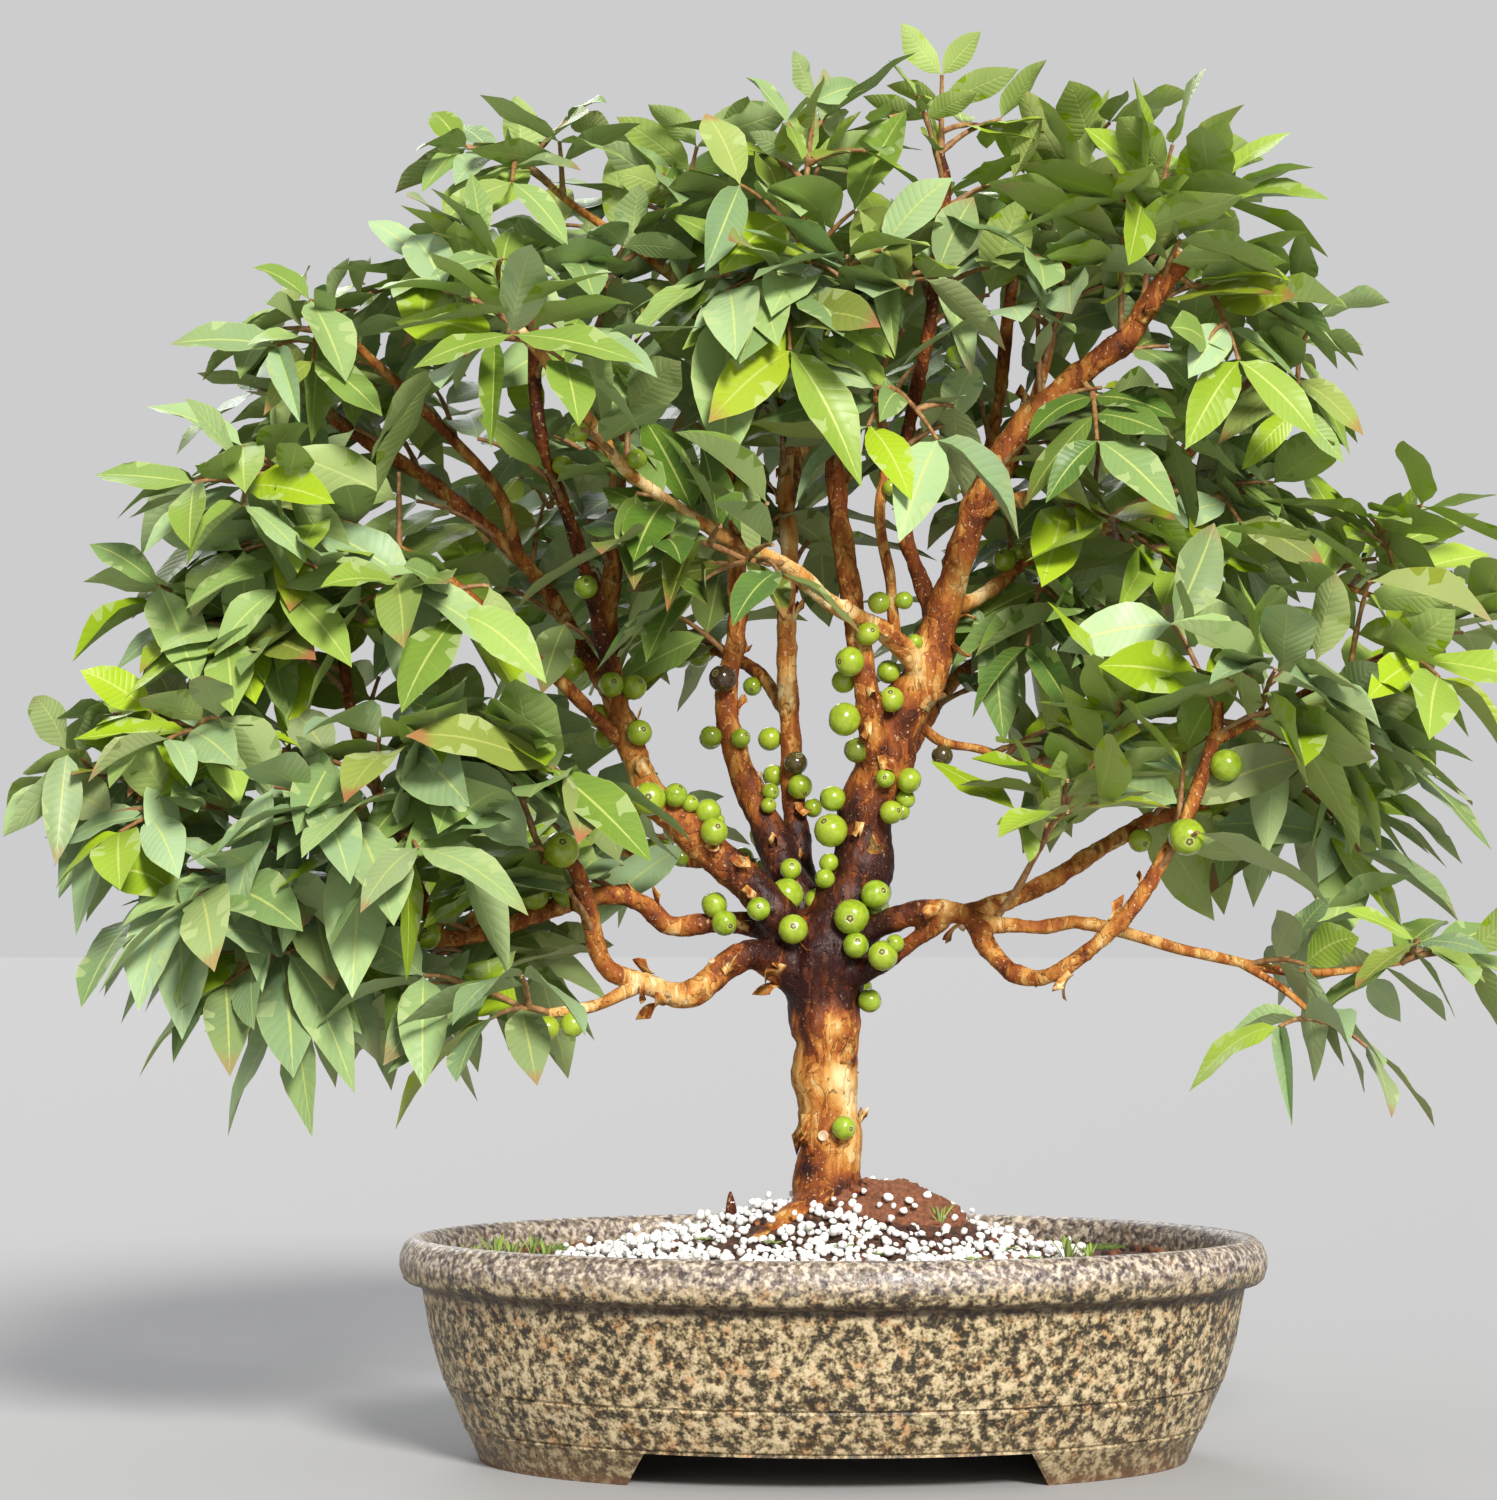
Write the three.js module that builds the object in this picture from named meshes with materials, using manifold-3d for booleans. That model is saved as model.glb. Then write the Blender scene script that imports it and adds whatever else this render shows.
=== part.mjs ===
// Jaboticaba bonsai in an oval stoneware pot, about 0.7 m tall.
// Millimetres, +Z up, the front towards -Y, the pot standing on z = 0.
import * as THREE from 'three';
import { mergeVertices } from 'three/addons/utils/BufferGeometryUtils.js';
import Module from 'manifold-3d';

const wasm = await Module();
wasm.setup();

// Pot: the wall follows an oval, and every outline point is an offset from it with a height.
const ovalHalfLength = 200;
const ovalHalfDepth = 147;
const potSegments = 24;
const potHeight = 109;
const floorHeight = 26;
const footHeight = 16.5;
const footWidth = 24;
const footOffset = -26;
const footOpening = { top: 91, bottom: 100 };
const drainHoleRadius = 9;
const drainHolePlaces = [-75, 75];
const [wallFoot, wallTop, wallTopHeight] = [-38, -6, 88];

// Soil and its cover.
const soilEdgeHeight = 97;
const moundRise = 31;
const moundHalfLength = 105;
const moundHalfDepth = 78;
const prillCover = { centre: [-12, -22], halfLength: 126, halfDepth: 96, thickness: 3.4, bump: 1.6 };
const wallClearance = 0.45;
const coverGap = 1;

// Wood, fruit and leaves.
const seatGap = 0.3;
const twigRadius = { root: 1.6, tip: 0.9 };
const leafStep = 17;
const sideLeafShoot = 40;
const leafThickness = 1.3;
const smallestFruit = 6.5;
const touching = 0.9;
const mostBunches = 7;
const wholeShare = 0.72;
const plantShift = [33, -29, 0];

// Points of the limbs, each [x, y, z, radius], from the root end to the cut or growing end.
const limbs = {
  trunk: [[-2, 0, 70, 22], [-1, 0, 108, 20], [-2, 0, 124, 18], [-2, 0, 142, 16.5], [-3, 0, 180, 15.5],
    [-4, 0, 208, 16.5], [-5, 0, 232, 20], [-4, 0, 252, 20], [0, 2, 268, 15]],
  rootFront: [[-6, -3, 128, 11], [-20, -22, 118, 9], [-36, -40, 107, 7], [-54, -56, 92, 5]],
  rootRight: [[4, -4, 127, 12], [24, -10, 122, 11], [46, -14, 113, 8], [74, -14, 95, 5]],
  rootBack: [[-6, 6, 124, 10], [-26, 28, 114, 8], [-44, 48, 96, 5]],
  rootBackRight: [[4, 6, 124, 10], [22, 30, 114, 8], [34, 54, 96, 5]],
  crownLeft: [[-9, 0, 234, 13], [-24, -6, 246, 11.5], [-36, -11, 253, 9]],
  crownRight: [[1, 0, 234, 13], [10, -6, 251, 10], [20, -14, 262, 7]],
  armA: [[-10, 0, 244, 12], [-34, -10, 276, 10], [-74, -17, 313, 9], [-90, -18, 328, 8],
    [-106, -14, 368, 6.4], [-112, -8, 405, 5.4], [-110, -3, 451, 4.8], [-108, 1, 500, 4.3],
    [-116, 0, 560, 3]],
  armB: [[-16, 0, 240, 11], [-42, -22, 249, 7.5], [-72, -42, 230, 6.4], [-90, -52, 235, 5.7],
    [-112, -60, 245, 5], [-119, -63, 272, 4.6], [-127, -68, 293, 4], [-141, -74, 296, 3.2]],
  armBSide: [[-94, -54, 236, 4], [-114, -72, 226, 3], [-138, -86, 222, 2.4]],
  armC: [[-13, 4, 254, 10], [-31, 4, 262, 7], [-57, 0, 265, 5.6], [-81, -6, 264, 5.2], [-96, -11, 275, 5],
    [-116, -17, 279, 4.8], [-146, -27, 269, 4.5], [-186, -36, 257, 4.1], [-229, -44, 260, 3.4],
    [-248, -47, 266, 2.8]],
  armCEnd: [[-231, -44, 260, 3.2], [-252, -52, 281, 2.5], [-264, -56, 300, 2.2], [-266, -66, 350, 1.9]],
  armCUp: [[-193, -37, 257, 4], [-213, -40, 302, 3.6], [-236, -44, 366, 3.1], [-241, -46, 400, 3],
    [-247, -48, 427, 2.8], [-253, -50, 461, 2.4]],
  armD: [[-12, 6, 261, 12], [-23, 12, 291, 9.5], [-40, 18, 330, 8], [-53, 22, 370, 5.8],
    [-47, 26, 428, 5], [-52, 28, 480, 4.5], [-57, 28, 525, 4], [-76, 20, 602, 3.6]],
  armDTwig: [[-72, 22, 580, 3], [-85, 11, 596, 2.6], [-129, -8, 624, 2], [-145, -14, 637, 1.6]],
  armE: [[-5, 6, 266, 11], [-15, 24, 291, 7.5], [-20, 34, 340, 5.8], [-23, 40, 419, 5],
    [-21, 42, 445, 4.9], [-23, 44, 480, 4.6], [-24, 47, 530, 4], [-41, 42, 615, 2.5]],
  armF: [[0, 2, 261, 17], [13, 4, 288, 15], [18, 3, 325, 14], [32, 2, 362, 13.5], [45, 0, 388, 12],
    [54, 0, 414, 9], [62, -3, 443, 7.4], [76, -8, 479, 8.4], [96, -13, 514, 7], [112, -17, 529, 6.5],
    [143, -24, 553, 6.2], [158, -28, 573, 6], [174, -32, 595, 5.6]],
  armFPale: [[46, -6, 390, 6], [26, -20, 409, 5.2], [-2, -36, 423, 4.6], [-24, -50, 440, 4.2],
    [-53, -66, 452, 4], [-95, -90, 477, 3.6], [-111, -99, 495, 3.4], [-140, -114, 534, 2.8],
    [-155, -120, 550, 2.5]],
  armFTwisty: [[31, -17, 405, 3.2], [28, -26, 434, 2.9], [23, -27, 465, 2.8], [26, -26, 500, 2.7],
    [22, -24, 523, 2.4], [24, -22, 542, 2]],
  armFDark: [[53, 2, 406, 6], [46, 11, 434, 4.4], [36, 18, 468, 4.2], [37, 20, 505, 3.8],
    [48, 12, 557, 3.4], [52, 5, 590, 3.3], [57, -3, 632, 3], [54, -5, 651, 2.8]],
  armFStraight: [[64, 2, 444, 4.5], [74, 18, 476, 4], [84, 30, 520, 3.7], [92, 34, 585, 3.2],
    [94, 34, 611, 2.8]],
  armFStub: [[96, -12, 513, 3.4], [106, -4, 543, 2.8], [117, 4, 585, 2.4], [123, 5, 632, 2],
    [125, 5, 647, 1.7]],
  armG: [[23, 0, 331, 8], [20, -12, 358, 7], [14, -18, 396, 6.1], [6, -12, 448, 5.6], [1, -5, 491, 5],
    [-2, -1, 530, 3.8], [-8, -14, 568, 2.5], [-13, -24, 599, 2.1], [-15, -25, 620, 1.8]],
  armI: [[57, 2, 420, 4.6], [78, 20, 432, 4], [108, 34, 454, 3.4], [133, 38, 466, 3], [161, 40, 481, 2.7],
    [183, 36, 504, 2.4], [206, 28, 534, 2.1], [230, 20, 552, 1.6]],
  armIEnd: [[135, 38, 467, 2.5], [169, 46, 458, 2.3], [205, 47, 451, 2.1], [241, 42, 444, 1.8],
    [290, 28, 426, 1.4]],
  armH: [[6, -4, 250, 9], [22, -20, 264, 6.4], [48, -33, 271, 5.7], [66, -40, 267, 5.3],
    [75, -50, 252, 4.8], [88, -64, 240, 4.6], [106, -76, 241, 4.4], [128, -82, 258, 4.2],
    [148, -84, 281, 4], [169, -82, 318, 3.6], [182, -78, 354, 3.2], [184, -76, 371, 3]],
  armHUpper: [[182, -78, 352, 2.7], [206, -82, 365, 2.3], [226, -84, 376, 2], [271, -75, 397, 1.4]],
  armHLow: [[70, -42, 265, 4.4], [99, -40, 263, 3.8], [123, -42, 265, 3.5], [174, -56, 251, 2.8],
    [227, -66, 241, 2.1], [273, -66, 246, 1.4]],
  armHLowEnd: [[196, -61, 246, 2.2], [214, -73, 234, 1.8], [227, -84, 222, 1.5]],
  armHUp: [[60, -37, 269, 5.6], [84, -30, 275, 5.2], [116, -18, 291, 4.8], [150, -2, 312, 4.2],
    [169, 6, 319, 3.8], [201, 14, 328, 3.2], [232, 20, 339, 2.4]],
  armHRoot: [[3, -4, 236, 8], [21, -19, 244, 4.8], [38, -29, 255, 4.3], [54, -35, 266, 4]],
  armS: [[-109, -12, 375, 4.8], [-128, 6, 406, 4.5], [-152, 16, 443, 4.3], [-198, 16, 484, 4.1],
    [-235, 6, 508, 3.9], [-252, 1, 519, 3.6]],
  armSTwig: [[-157, 16, 446, 3.4], [-169, 0, 483, 3], [-209, -24, 525, 2.8], [-243, -33, 557, 2.3]],
  armSRed: [[-111, -11, 390, 4.4], [-118, -27, 420, 3.8], [-129, -46, 460, 3.6], [-143, -54, 500, 3.4],
    [-148, -56, 561, 3]],
  armSFront: [[-102, -17, 351, 4], [-129, -36, 378, 3.4], [-186, -61, 430, 2.9], [-235, -70, 458, 2.5],
    [-276, -74, 486, 2]],
  armM: [[36, 4, 374, 3.4], [54, 16, 357, 2.6], [76, 28, 353, 2.2], [103, 38, 345, 2],
    [144, 52, 340, 1.6]],
  backLeft: [[-21, 38, 372, 4.4], [-44, 74, 400, 3.8], [-88, 112, 420, 3.2], [-128, 140, 452, 2.4]],
  backMid: [[-23, 44, 474, 4.2], [-14, 84, 512, 3.6], [8, 124, 540, 2.8], [20, 146, 572, 2.2]],
  backRight: [[20, 6, 330, 6], [44, 44, 360, 4.6], [66, 92, 392, 3.8], [104, 128, 420, 3],
    [140, 146, 450, 2.2]],
  backLow: [[-15, 22, 288, 5.6], [-48, 60, 296, 4.4], [-92, 96, 300, 3.6], [-140, 120, 312, 2.6]],
};

// Leafy stems: the root on a limb, the shoot tips, the leaf length, how far leaves droop, and the tone.
const sprayRows = [
  [[55, -4, 646], [[55, -10, 690], [80, 12, 668], [28, -22, 666]], 34, 0.1, 'young'],
  [[-15, -25, 612], [[-9, -30, 672], [-42, -8, 655], [16, -48, 644]], 42, 0.2, 'mid'],
  [[123, 5, 634], [[140, 0, 668], [100, 24, 652], [112, 50, 620]], 50, 0.15, 'young'],
  [[150, -26, 563], [[168, -34, 650], [202, -16, 632], [140, -60, 618]], 58, 0.2, 'young'],
  [[168, -31, 588], [[226, -8, 566], [198, -52, 540]], 46, 0.3, 'mid'],
  [[227, 21, 550], [[246, 6, 570], [222, 52, 548], [232, -10, 520]], 42, 0.4, 'mid'],
  [[166, 39, 486], [[226, 50, 482], [196, 88, 502], [204, -2, 466]], 48, 0.35, 'mid'],
  [[270, 34, 433], [[314, 18, 442], [286, 62, 462], [268, -16, 466]], 48, 0.1, 'young'],
  [[252, -79, 389], [[305, -60, 406], [284, -114, 381]], 53, 0.3, 'young'],
  [[184, -77, 362], [[240, -52, 338], [206, -122, 384], [276, -70, 342]], 56, 0.3, 'mid'],
  [[226, 19, 337], [[272, 42, 322], [262, -12, 300], [214, 62, 326]], 50, 0.4, 'mid'],
  [[226, -83, 223], [[252, -96, 206], [208, -112, 216]], 48, 0.55, 'mature'],
  [[262, -66, 245], [[300, -60, 252], [262, -30, 236], [276, -100, 256]], 44, 0.25, 'mid'],
  [[80, -38, 268], [[148, -66, 366], [110, -96, 318]], 50, 0.1, 'young'],
  [[110, 35, 455], [[98, 8, 404], [140, 12, 398], [96, 80, 430]], 46, 0.6, 'dark'],
  [[142, 40, 464], [[138, -22, 466], [172, -8, 440]], 52, 0.1, 'young'],
  [[106, -5, 544], [[122, -46, 590], [84, -46, 566], [140, 40, 584]], 48, 0.35, 'mature'],
  [[122, -19, 537], [[128, -58, 500], [166, -30, 506]], 46, 0.4, 'dark'],
  [[50, 9, 572], [[78, -14, 592], [26, -20, 600], [60, 52, 598]], 48, 0.3, 'mid'],
  [[-6, -10, 560], [[44, -66, 578], [6, -72, 588]], 54, 0.25, 'mature'],
  [[-12, -22, 590], [[-52, -70, 572], [-22, -86, 540]], 60, 0.5, 'mid'],
  [[24, -22, 539], [[50, -60, 500], [16, -66, 506]], 50, 0.6, 'mature'],
  [[-41, 42, 612], [[-72, 34, 642], [-20, 56, 650], [-44, 96, 626]], 50, 0.2, 'mid'],
  [[-75, 20, 596], [[-68, 2, 656], [-104, 40, 636]], 48, 0.2, 'mid'],
  [[-142, -13, 635], [[-182, -26, 650], [-132, -22, 664], [-158, -52, 628]], 42, 0.3, 'mid'],
  [[-116, 0, 556], [[-104, -30, 600], [-138, 36, 600]], 46, 0.35, 'mature'],
  [[-148, -56, 556], [[-184, -66, 598], [-208, -36, 580], [-160, -100, 582]], 50, 0.25, 'mid'],
  [[-154, -119, 548], [[-190, -132, 520], [-128, -152, 526]], 54, 0.35, 'mid'],
  [[-242, -33, 555], [[-278, -42, 556], [-252, -80, 536], [-240, 10, 574]], 44, 0.45, 'mid'],
  [[-250, 1, 517], [[-286, 24, 506], [-226, 50, 540]], 48, 0.35, 'mid'],
  [[-274, -74, 484], [[-308, -82, 478], [-280, -120, 462]], 48, 0.25, 'mid'],
  [[-253, -50, 459], [[-296, -56, 446], [-266, -98, 424], [-288, 0, 446]], 52, 0.35, 'mid'],
  [[-239, -45, 388], [[-330, -48, 420], [-292, -92, 396], [-300, 8, 402]], 50, 0.35, 'mid'],
  [[-266, -65, 346], [[-350, -64, 366], [-316, -112, 352], [-322, -20, 358]], 46, 0.3, 'mid'],
  [[-264, -58, 312], [[-376, -60, 336], [-340, -104, 308], [-338, -22, 312]], 48, 0.5, 'mature'],
  [[-251, -51, 279], [[-334, -72, 268], [-300, -120, 278], [-304, -10, 266]], 54, 0.7, 'mature'],
  [[-246, -46, 265], [[-262, -66, 226], [-292, -88, 236], [-226, -6, 232]], 54, 0.7, 'mature'],
  [[-208, -39, 288], [[-244, -132, 318], [-196, -138, 300], [-216, -118, 352]], 58, 0.5, 'mature'],
  [[-140, -74, 297], [[-162, -112, 350], [-204, -112, 346], [-116, -124, 330]], 64, 0.45, 'mid'],
  [[-136, -85, 222], [[-164, -104, 220], [-148, -124, 240], [-196, -78, 236]], 56, 0.65, 'mature'],
  [[-200, -36, 257], [[-204, 24, 238], [-156, 34, 236]], 54, 0.5, 'dark'],
  [[-186, -61, 430], [[-226, -112, 416], [-178, -124, 410]], 54, 0.4, 'mid'],
  [[-24, -51, 441], [[-64, -98, 428], [-28, -104, 432], [-96, -112, 446]], 56, 0.25, 'dark'],
  [[-128, 140, 452], [[-186, 172, 470], [-120, 204, 430], [-146, 150, 520]], 54, 0.4, 'mid'],
  [[20, 146, 572], [[60, 172, 590], [-44, 178, 576], [22, 214, 526]], 54, 0.35, 'mid'],
  [[140, 146, 450], [[196, 158, 470], [116, 208, 440], [156, 150, 520]], 54, 0.4, 'mid'],
  [[-140, 120, 312], [[-206, 136, 318], [-140, 190, 330], [-176, 96, 366]], 56, 0.6, 'mature'],
];
const sprays = sprayRows.map(([root, tips, leaf, droop, tone]) => ({ root, tips, leaf, droop, tone }));

// Fruit seen on the front of the bark, each [x, z, radius], and how many more sit round the back.
const frontFruit = [
  [8, 394, 7.5], [27, 391, 6], [29, 376, 6.5], [5, 366, 8.5], [12, 351, 6.5], [-18, 346, 6],
  [-16, 334, 6.5], [-31, 331, 4.5], [-32, 324, 4], [-7, 323, 5], [0, 327, 6.5], [-1, 311, 8.5],
  [38, 336, 6.5], [26, 337, 5], [29, 320, 6], [37, 320, 4.5], [44, 323, 5], [55, 348, 5.5], [-2, 295, 5],
  [-4, 287, 5], [-33, 291, 7.5], [-21, 292, 5.5], [-23, 279, 8.5], [-37, 272, 6], [-20, 262, 7.5],
  [-8, 276, 6.5], [21, 279, 7.5], [21, 270, 4], [9, 268, 9], [11, 254, 6.5], [24, 249, 7.5],
  [30, 255, 4.5], [20, 226, 6], [-125, 496, 5], [-131, 488, 5], [-92, 490, 5], [-46, 485, 5],
  [-53, 479, 4], [-122, 430, 6], [-86, 410, 6.5], [-77, 407, 4], [-68, 405, 6.5], [-80, 399, 7],
  [-131, 392, 6.5], [-110, 383, 6.5], [-99, 382, 6.5], [-55, 388, 7], [-40, 387, 5], [-96, 359, 6.5],
  [-61, 359, 5.5], [-46, 358, 5], [-91, 326, 8.5], [-104, 320, 7], [-78, 328, 6], [-71, 324, 4.5],
  [-62, 320, 6.5], [-55, 320, 4.5], [-59, 310, 7], [-88, 306, 6], [-77, 299, 5], [-45, 298, 6],
  [-59, 274, 6.5], [-54, 265, 6.5], [-132, 300, 9], [-148, 280, 8.5], [-130, 282, 9.5], [-199, 259, 7.5],
  [-200, 323, 5.5], [88, 449, 6], [91, 458, 4.5], [103, 455, 6.5], [188, 340, 8], [153, 306, 6],
  [167, 306, 9], [65, 616, 4.5], [-129, 547, 5], [-104, 553, 5], [5, 164, 6], [-138, 209, 6],
  [-127, 210, 6], [52, 500, 5], [28, 480, 4], [22, 423, 5.5], [36, 424, 4.5], [17, 408, 6], [41, 405, 4],
];
const backFruitLimbs = ['armA', 'armF', 'armD', 'armG', 'armE', 'armF', 'armA', 'trunk'];
const backFruitCount = 34;
const backFruitHeights = [226, 400];
const fruitSeat = 0.82;
const fruitSink = 1.08;

const tones = { young: 0x93b53a, mid: 0x4d8a35, mature: 0x6d8f70, dark: 0x2f6a2c };

// A repeatable draw between 0 and 1 for up to four whole numbers.
function draw(a, b = 0, c = 0, d = 0) {
  let state = (a * 7919 + b * 104729 + c * 1299709 + d * 15485863 + 12345) % 2147483647;
  for (let round = 0; round < 4; round++) state = (state * 48271) % 2147483647;
  return state / 2147483647;
}

const vector = (point) => new THREE.Vector3(point[0], point[1], point[2]);
const upward = new THREE.Vector3(0, 0, 1);

// A geometry as a solid: its shared corners are merged and its empty faces dropped.
function solidOf(geometry) {
  geometry.deleteAttribute('normal');
  geometry.deleteAttribute('uv');
  const merged = mergeVertices(geometry, 1e-4);
  const faces = [];
  for (let i = 0; i < merged.index.count; i += 3) {
    const corners = [0, 1, 2].map((k) => merged.index.getX(i + k));
    if (new Set(corners).size === 3) faces.push(...corners);
  }
  const vertProperties = new Float32Array(merged.attributes.position.array);
  return new wasm.Manifold(new wasm.Mesh({ numProp: 3, vertProperties, triVerts: new Uint32Array(faces) }));
}

// Triangles over rings of points, each ring turning left round the way ahead; one point closes an end.
function skin(rings) {
  return rings.slice(1).flatMap((high, r) => {
    const low = rings[r];
    const count = Math.max(low.length, high.length);
    return Array.from({ length: count }, (_, i) => {
      const [a, b] = [low[i % low.length], low[(i + 1) % low.length]];
      const [c, d] = [high[(i + 1) % high.length], high[i % high.length]];
      return [a, b, c, a, c, d];
    }).flat();
  });
}

const cap = (ring) => ring.slice(2).flatMap((_, i) => [ring[0], ring[i + 1], ring[i + 2]]);

const fromTriangles = (points) => solidOf(new THREE.BufferGeometry().setFromPoints(points));

function loft(rings) {
  return fromTriangles([...cap(rings[0].toReversed()), ...skin(rings), ...cap(rings.at(-1))]);
}

// The smooth route of a limb as stations with a centre, a radius and the direction of growth.
function stations(points, perSpan) {
  const curve = new THREE.CatmullRomCurve3(points.map(vector), false, 'catmullrom', 0.5);
  const spans = points.length - 1;
  return Array.from({ length: spans * perSpan + 1 }, (_, i) => {
    const along = i / perSpan;
    const from = Math.min(Math.floor(along), spans - 1);
    const radius = points[from][3] + (points[from + 1][3] - points[from][3]) * (along - from);
    const t = i / (spans * perSpan);
    return { centre: curve.getPoint(t), radius, heading: curve.getTangent(t) };
  });
}

// Rings of a tapered round limb; the side vector is carried along, so that the skin doesn't twist.
function limbRings(route, sides, firstSide, grow = 0) {
  const side = firstSide.clone();
  return route.map(({ centre, radius, heading }) => {
    side.addScaledVector(heading, -side.dot(heading)).normalize();
    const across = heading.clone().cross(side);
    return Array.from({ length: sides }, (_, k) => {
      const angle = (k / sides) * 2 * Math.PI;
      return centre.clone().addScaledVector(side, (radius + grow) * Math.cos(angle))
        .addScaledVector(across, (radius + grow) * Math.sin(angle));
    });
  });
}

function tube(points, { sides, grow = 0 }) {
  const route = stations(points, 1);
  const { heading } = route[0];
  const axis = Math.abs(heading.y) > 0.95 ? new THREE.Vector3(1, 0, 0) : new THREE.Vector3(0, 1, 0);
  return loft(limbRings(route, sides, axis.cross(heading), grow));
}

function join(solids) {
  return solids.reduce((whole, solid) => whole.add(solid));
}

// The biggest body of a solid: cuts may leave loose scraps, which are dropped.
function largest(solid) {
  return solid.decompose().sort((a, b) => b.volume() - a.volume())[0];
}

// Pot

// A point of the oval, moved out by an offset square to the wall.
function ovalPoint(offset, angle) {
  const [c, s] = [Math.cos(angle), Math.sin(angle)];
  const normal = new THREE.Vector2(c / ovalHalfLength, s / ovalHalfDepth).normalize();
  return [ovalHalfLength * c + offset * normal.x, ovalHalfDepth * s + offset * normal.y];
}

// A turned body from [offset, height] outline points, pressed into the oval of the pot.
const innermostOffset = -60;
function ovalBody(outline, segments) {
  const profile = outline.map(([offset, height]) => new THREE.Vector2(ovalHalfLength + offset, height));
  profile.unshift(new THREE.Vector2(0, outline[0][1]));
  profile.push(new THREE.Vector2(0, outline.at(-1)[1]));
  const geometry = new THREE.LatheGeometry(profile, segments).rotateX(Math.PI / 2);
  const position = geometry.attributes.position;
  for (let i = 0; i < position.count; i++) {
    const [x, y] = [position.getX(i), position.getY(i)];
    const reach = Math.hypot(x, y);
    const offset = Math.max(reach - ovalHalfLength, innermostOffset);
    const scale = Math.min(1, reach / (ovalHalfLength + innermostOffset));
    const [ovalX, ovalY] = ovalPoint(offset, Math.atan2(y, x));
    position.setXY(i, ovalX * scale, ovalY * scale);
  }
  return solidOf(geometry);
}

function makePot() {
  const [grooveDepth, grooveHalf] = [1.4, 1.2];
  const groove = (offset, height) => [[offset - 0.3, height - grooveHalf],
    [offset - grooveDepth, height], [offset + 0.5, height + grooveHalf]];
  const outside = [[footOffset, 0], ...groove(-16, 17.7), ...groove(-7, 38.6), [4.5, 86], [12.5, 88.5],
    [15.5, 98], [10.5, potHeight], [2, potHeight]];
  const inside = [[wallFoot, floorHeight], [wallTop, wallTopHeight], [0, 95], [0, 105], [3, potHeight + 1]];
  let pot = ovalBody(outside, potSegments).subtract(ovalBody(inside, potSegments));
  const underside = [[footOffset - footWidth, -1], [footOffset - footWidth, footHeight]];
  pot = pot.subtract(ovalBody(underside, potSegments));
  const { top, bottom } = footOpening;
  const openingCorners = [[-bottom, -1], [bottom, -1], [top, footHeight], [-top, footHeight]];
  const opening = new THREE.Shape(openingCorners.map(([x, y]) => new THREE.Vector2(x, y)));
  const passage = new THREE.ExtrudeGeometry(opening, { depth: 4 * ovalHalfDepth, bevelEnabled: false });
  passage.rotateX(Math.PI / 2).translate(0, 2 * ovalHalfDepth, 0);
  pot = pot.subtract(solidOf(passage));
  for (const x of drainHolePlaces) {
    const drill = new THREE.CylinderGeometry(drainHoleRadius, drainHoleRadius, 4 * floorHeight, 12);
    pot = pot.subtract(solidOf(drill.rotateX(Math.PI / 2).translate(x, 0, 0)));
  }
  return pot;
}

// Soil

function soilTop(x, y) {
  const spread = (x / moundHalfLength) ** 2 + (y / moundHalfDepth) ** 2;
  const hill = moundRise * Math.exp(-1.6 * spread);
  const shoulder = 7 * Math.exp(-(((x - 42) / 30) ** 2 + ((y + 4) / 26) ** 2));
  return soilEdgeHeight + hill + shoulder + 0.9 * Math.sin(x / 11) * Math.cos(y / 9);
}

// A ring of the soil at a share of the oval inside the wall.
function soilRing(offset, share, height) {
  return Array.from({ length: potSegments }, (_, i) => {
    const [x, y] = ovalPoint(offset, (i / potSegments) * 2 * Math.PI);
    return new THREE.Vector3(x * share, y * share, height ?? soilTop(x * share, y * share));
  });
}

function makeSoil(wood) {
  const rings = [
    [new THREE.Vector3(0, 0, floorHeight + seatGap)],
    soilRing(wallFoot - wallClearance, 1, floorHeight + seatGap),
    soilRing(wallTop - wallClearance, 1, wallTopHeight),
    ...[1, 0.8, 0.6, 0.4, 0.2].map((share) => soilRing(wallTop - wallClearance, share)),
    [new THREE.Vector3(0, 0, soilTop(0, 0))],
  ];
  return largest(loft(rings).subtract(wood));
}

// The white granules as one bumpy cover that lies on the front and the middle of the mound.
function makePrillCover(soil, standing) {
  const { centre, halfLength, halfDepth, thickness, bump } = prillCover;
  const [rows, count, rootHeight] = [5, 22, 60];
  const ring = (share, height) => Array.from({ length: count }, (_, i) => {
    const angle = (i / count) * 2 * Math.PI;
    const reach = share * (1 + 0.07 * Math.sin(3 * angle + 1) + 0.05 * Math.sin(7 * angle));
    const x = centre[0] + halfLength * reach * Math.cos(angle);
    const y = centre[1] + halfDepth * reach * Math.sin(angle);
    const relief = bump * (2 * draw(i, Math.round(share * 100), 5) - 1);
    return new THREE.Vector3(x, y, height ?? soilTop(x, y) + thickness + relief);
  });
  const shares = Array.from({ length: rows }, (_, i) => 1 - i / rows);
  const block = loft([[new THREE.Vector3(...centre, rootHeight)], ring(1, rootHeight),
    ...shares.map((share) => ring(share)), [new THREE.Vector3(...centre, soilTop(...centre) + thickness)]]);
  return largest(block.subtract(soil.translate([0, 0, seatGap])).subtract(standing));
}

// A small brown pointed stub, and a tuft of grassy weed, both standing in the soil.
const stubPlace = [-51, -6];
const stubSize = { radius: 2.9, height: 13, depth: 9 };
function makeStub(grow = 0) {
  const { radius, height, depth } = stubSize;
  const foot = soilTop(...stubPlace);
  const points = [[foot - depth, radius * 0.8], [foot + 4, radius], [foot + height, 0.7]];
  return tube(points.map(([z, r]) => [...stubPlace, z, r]), { sides: 7, grow });
}

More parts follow.
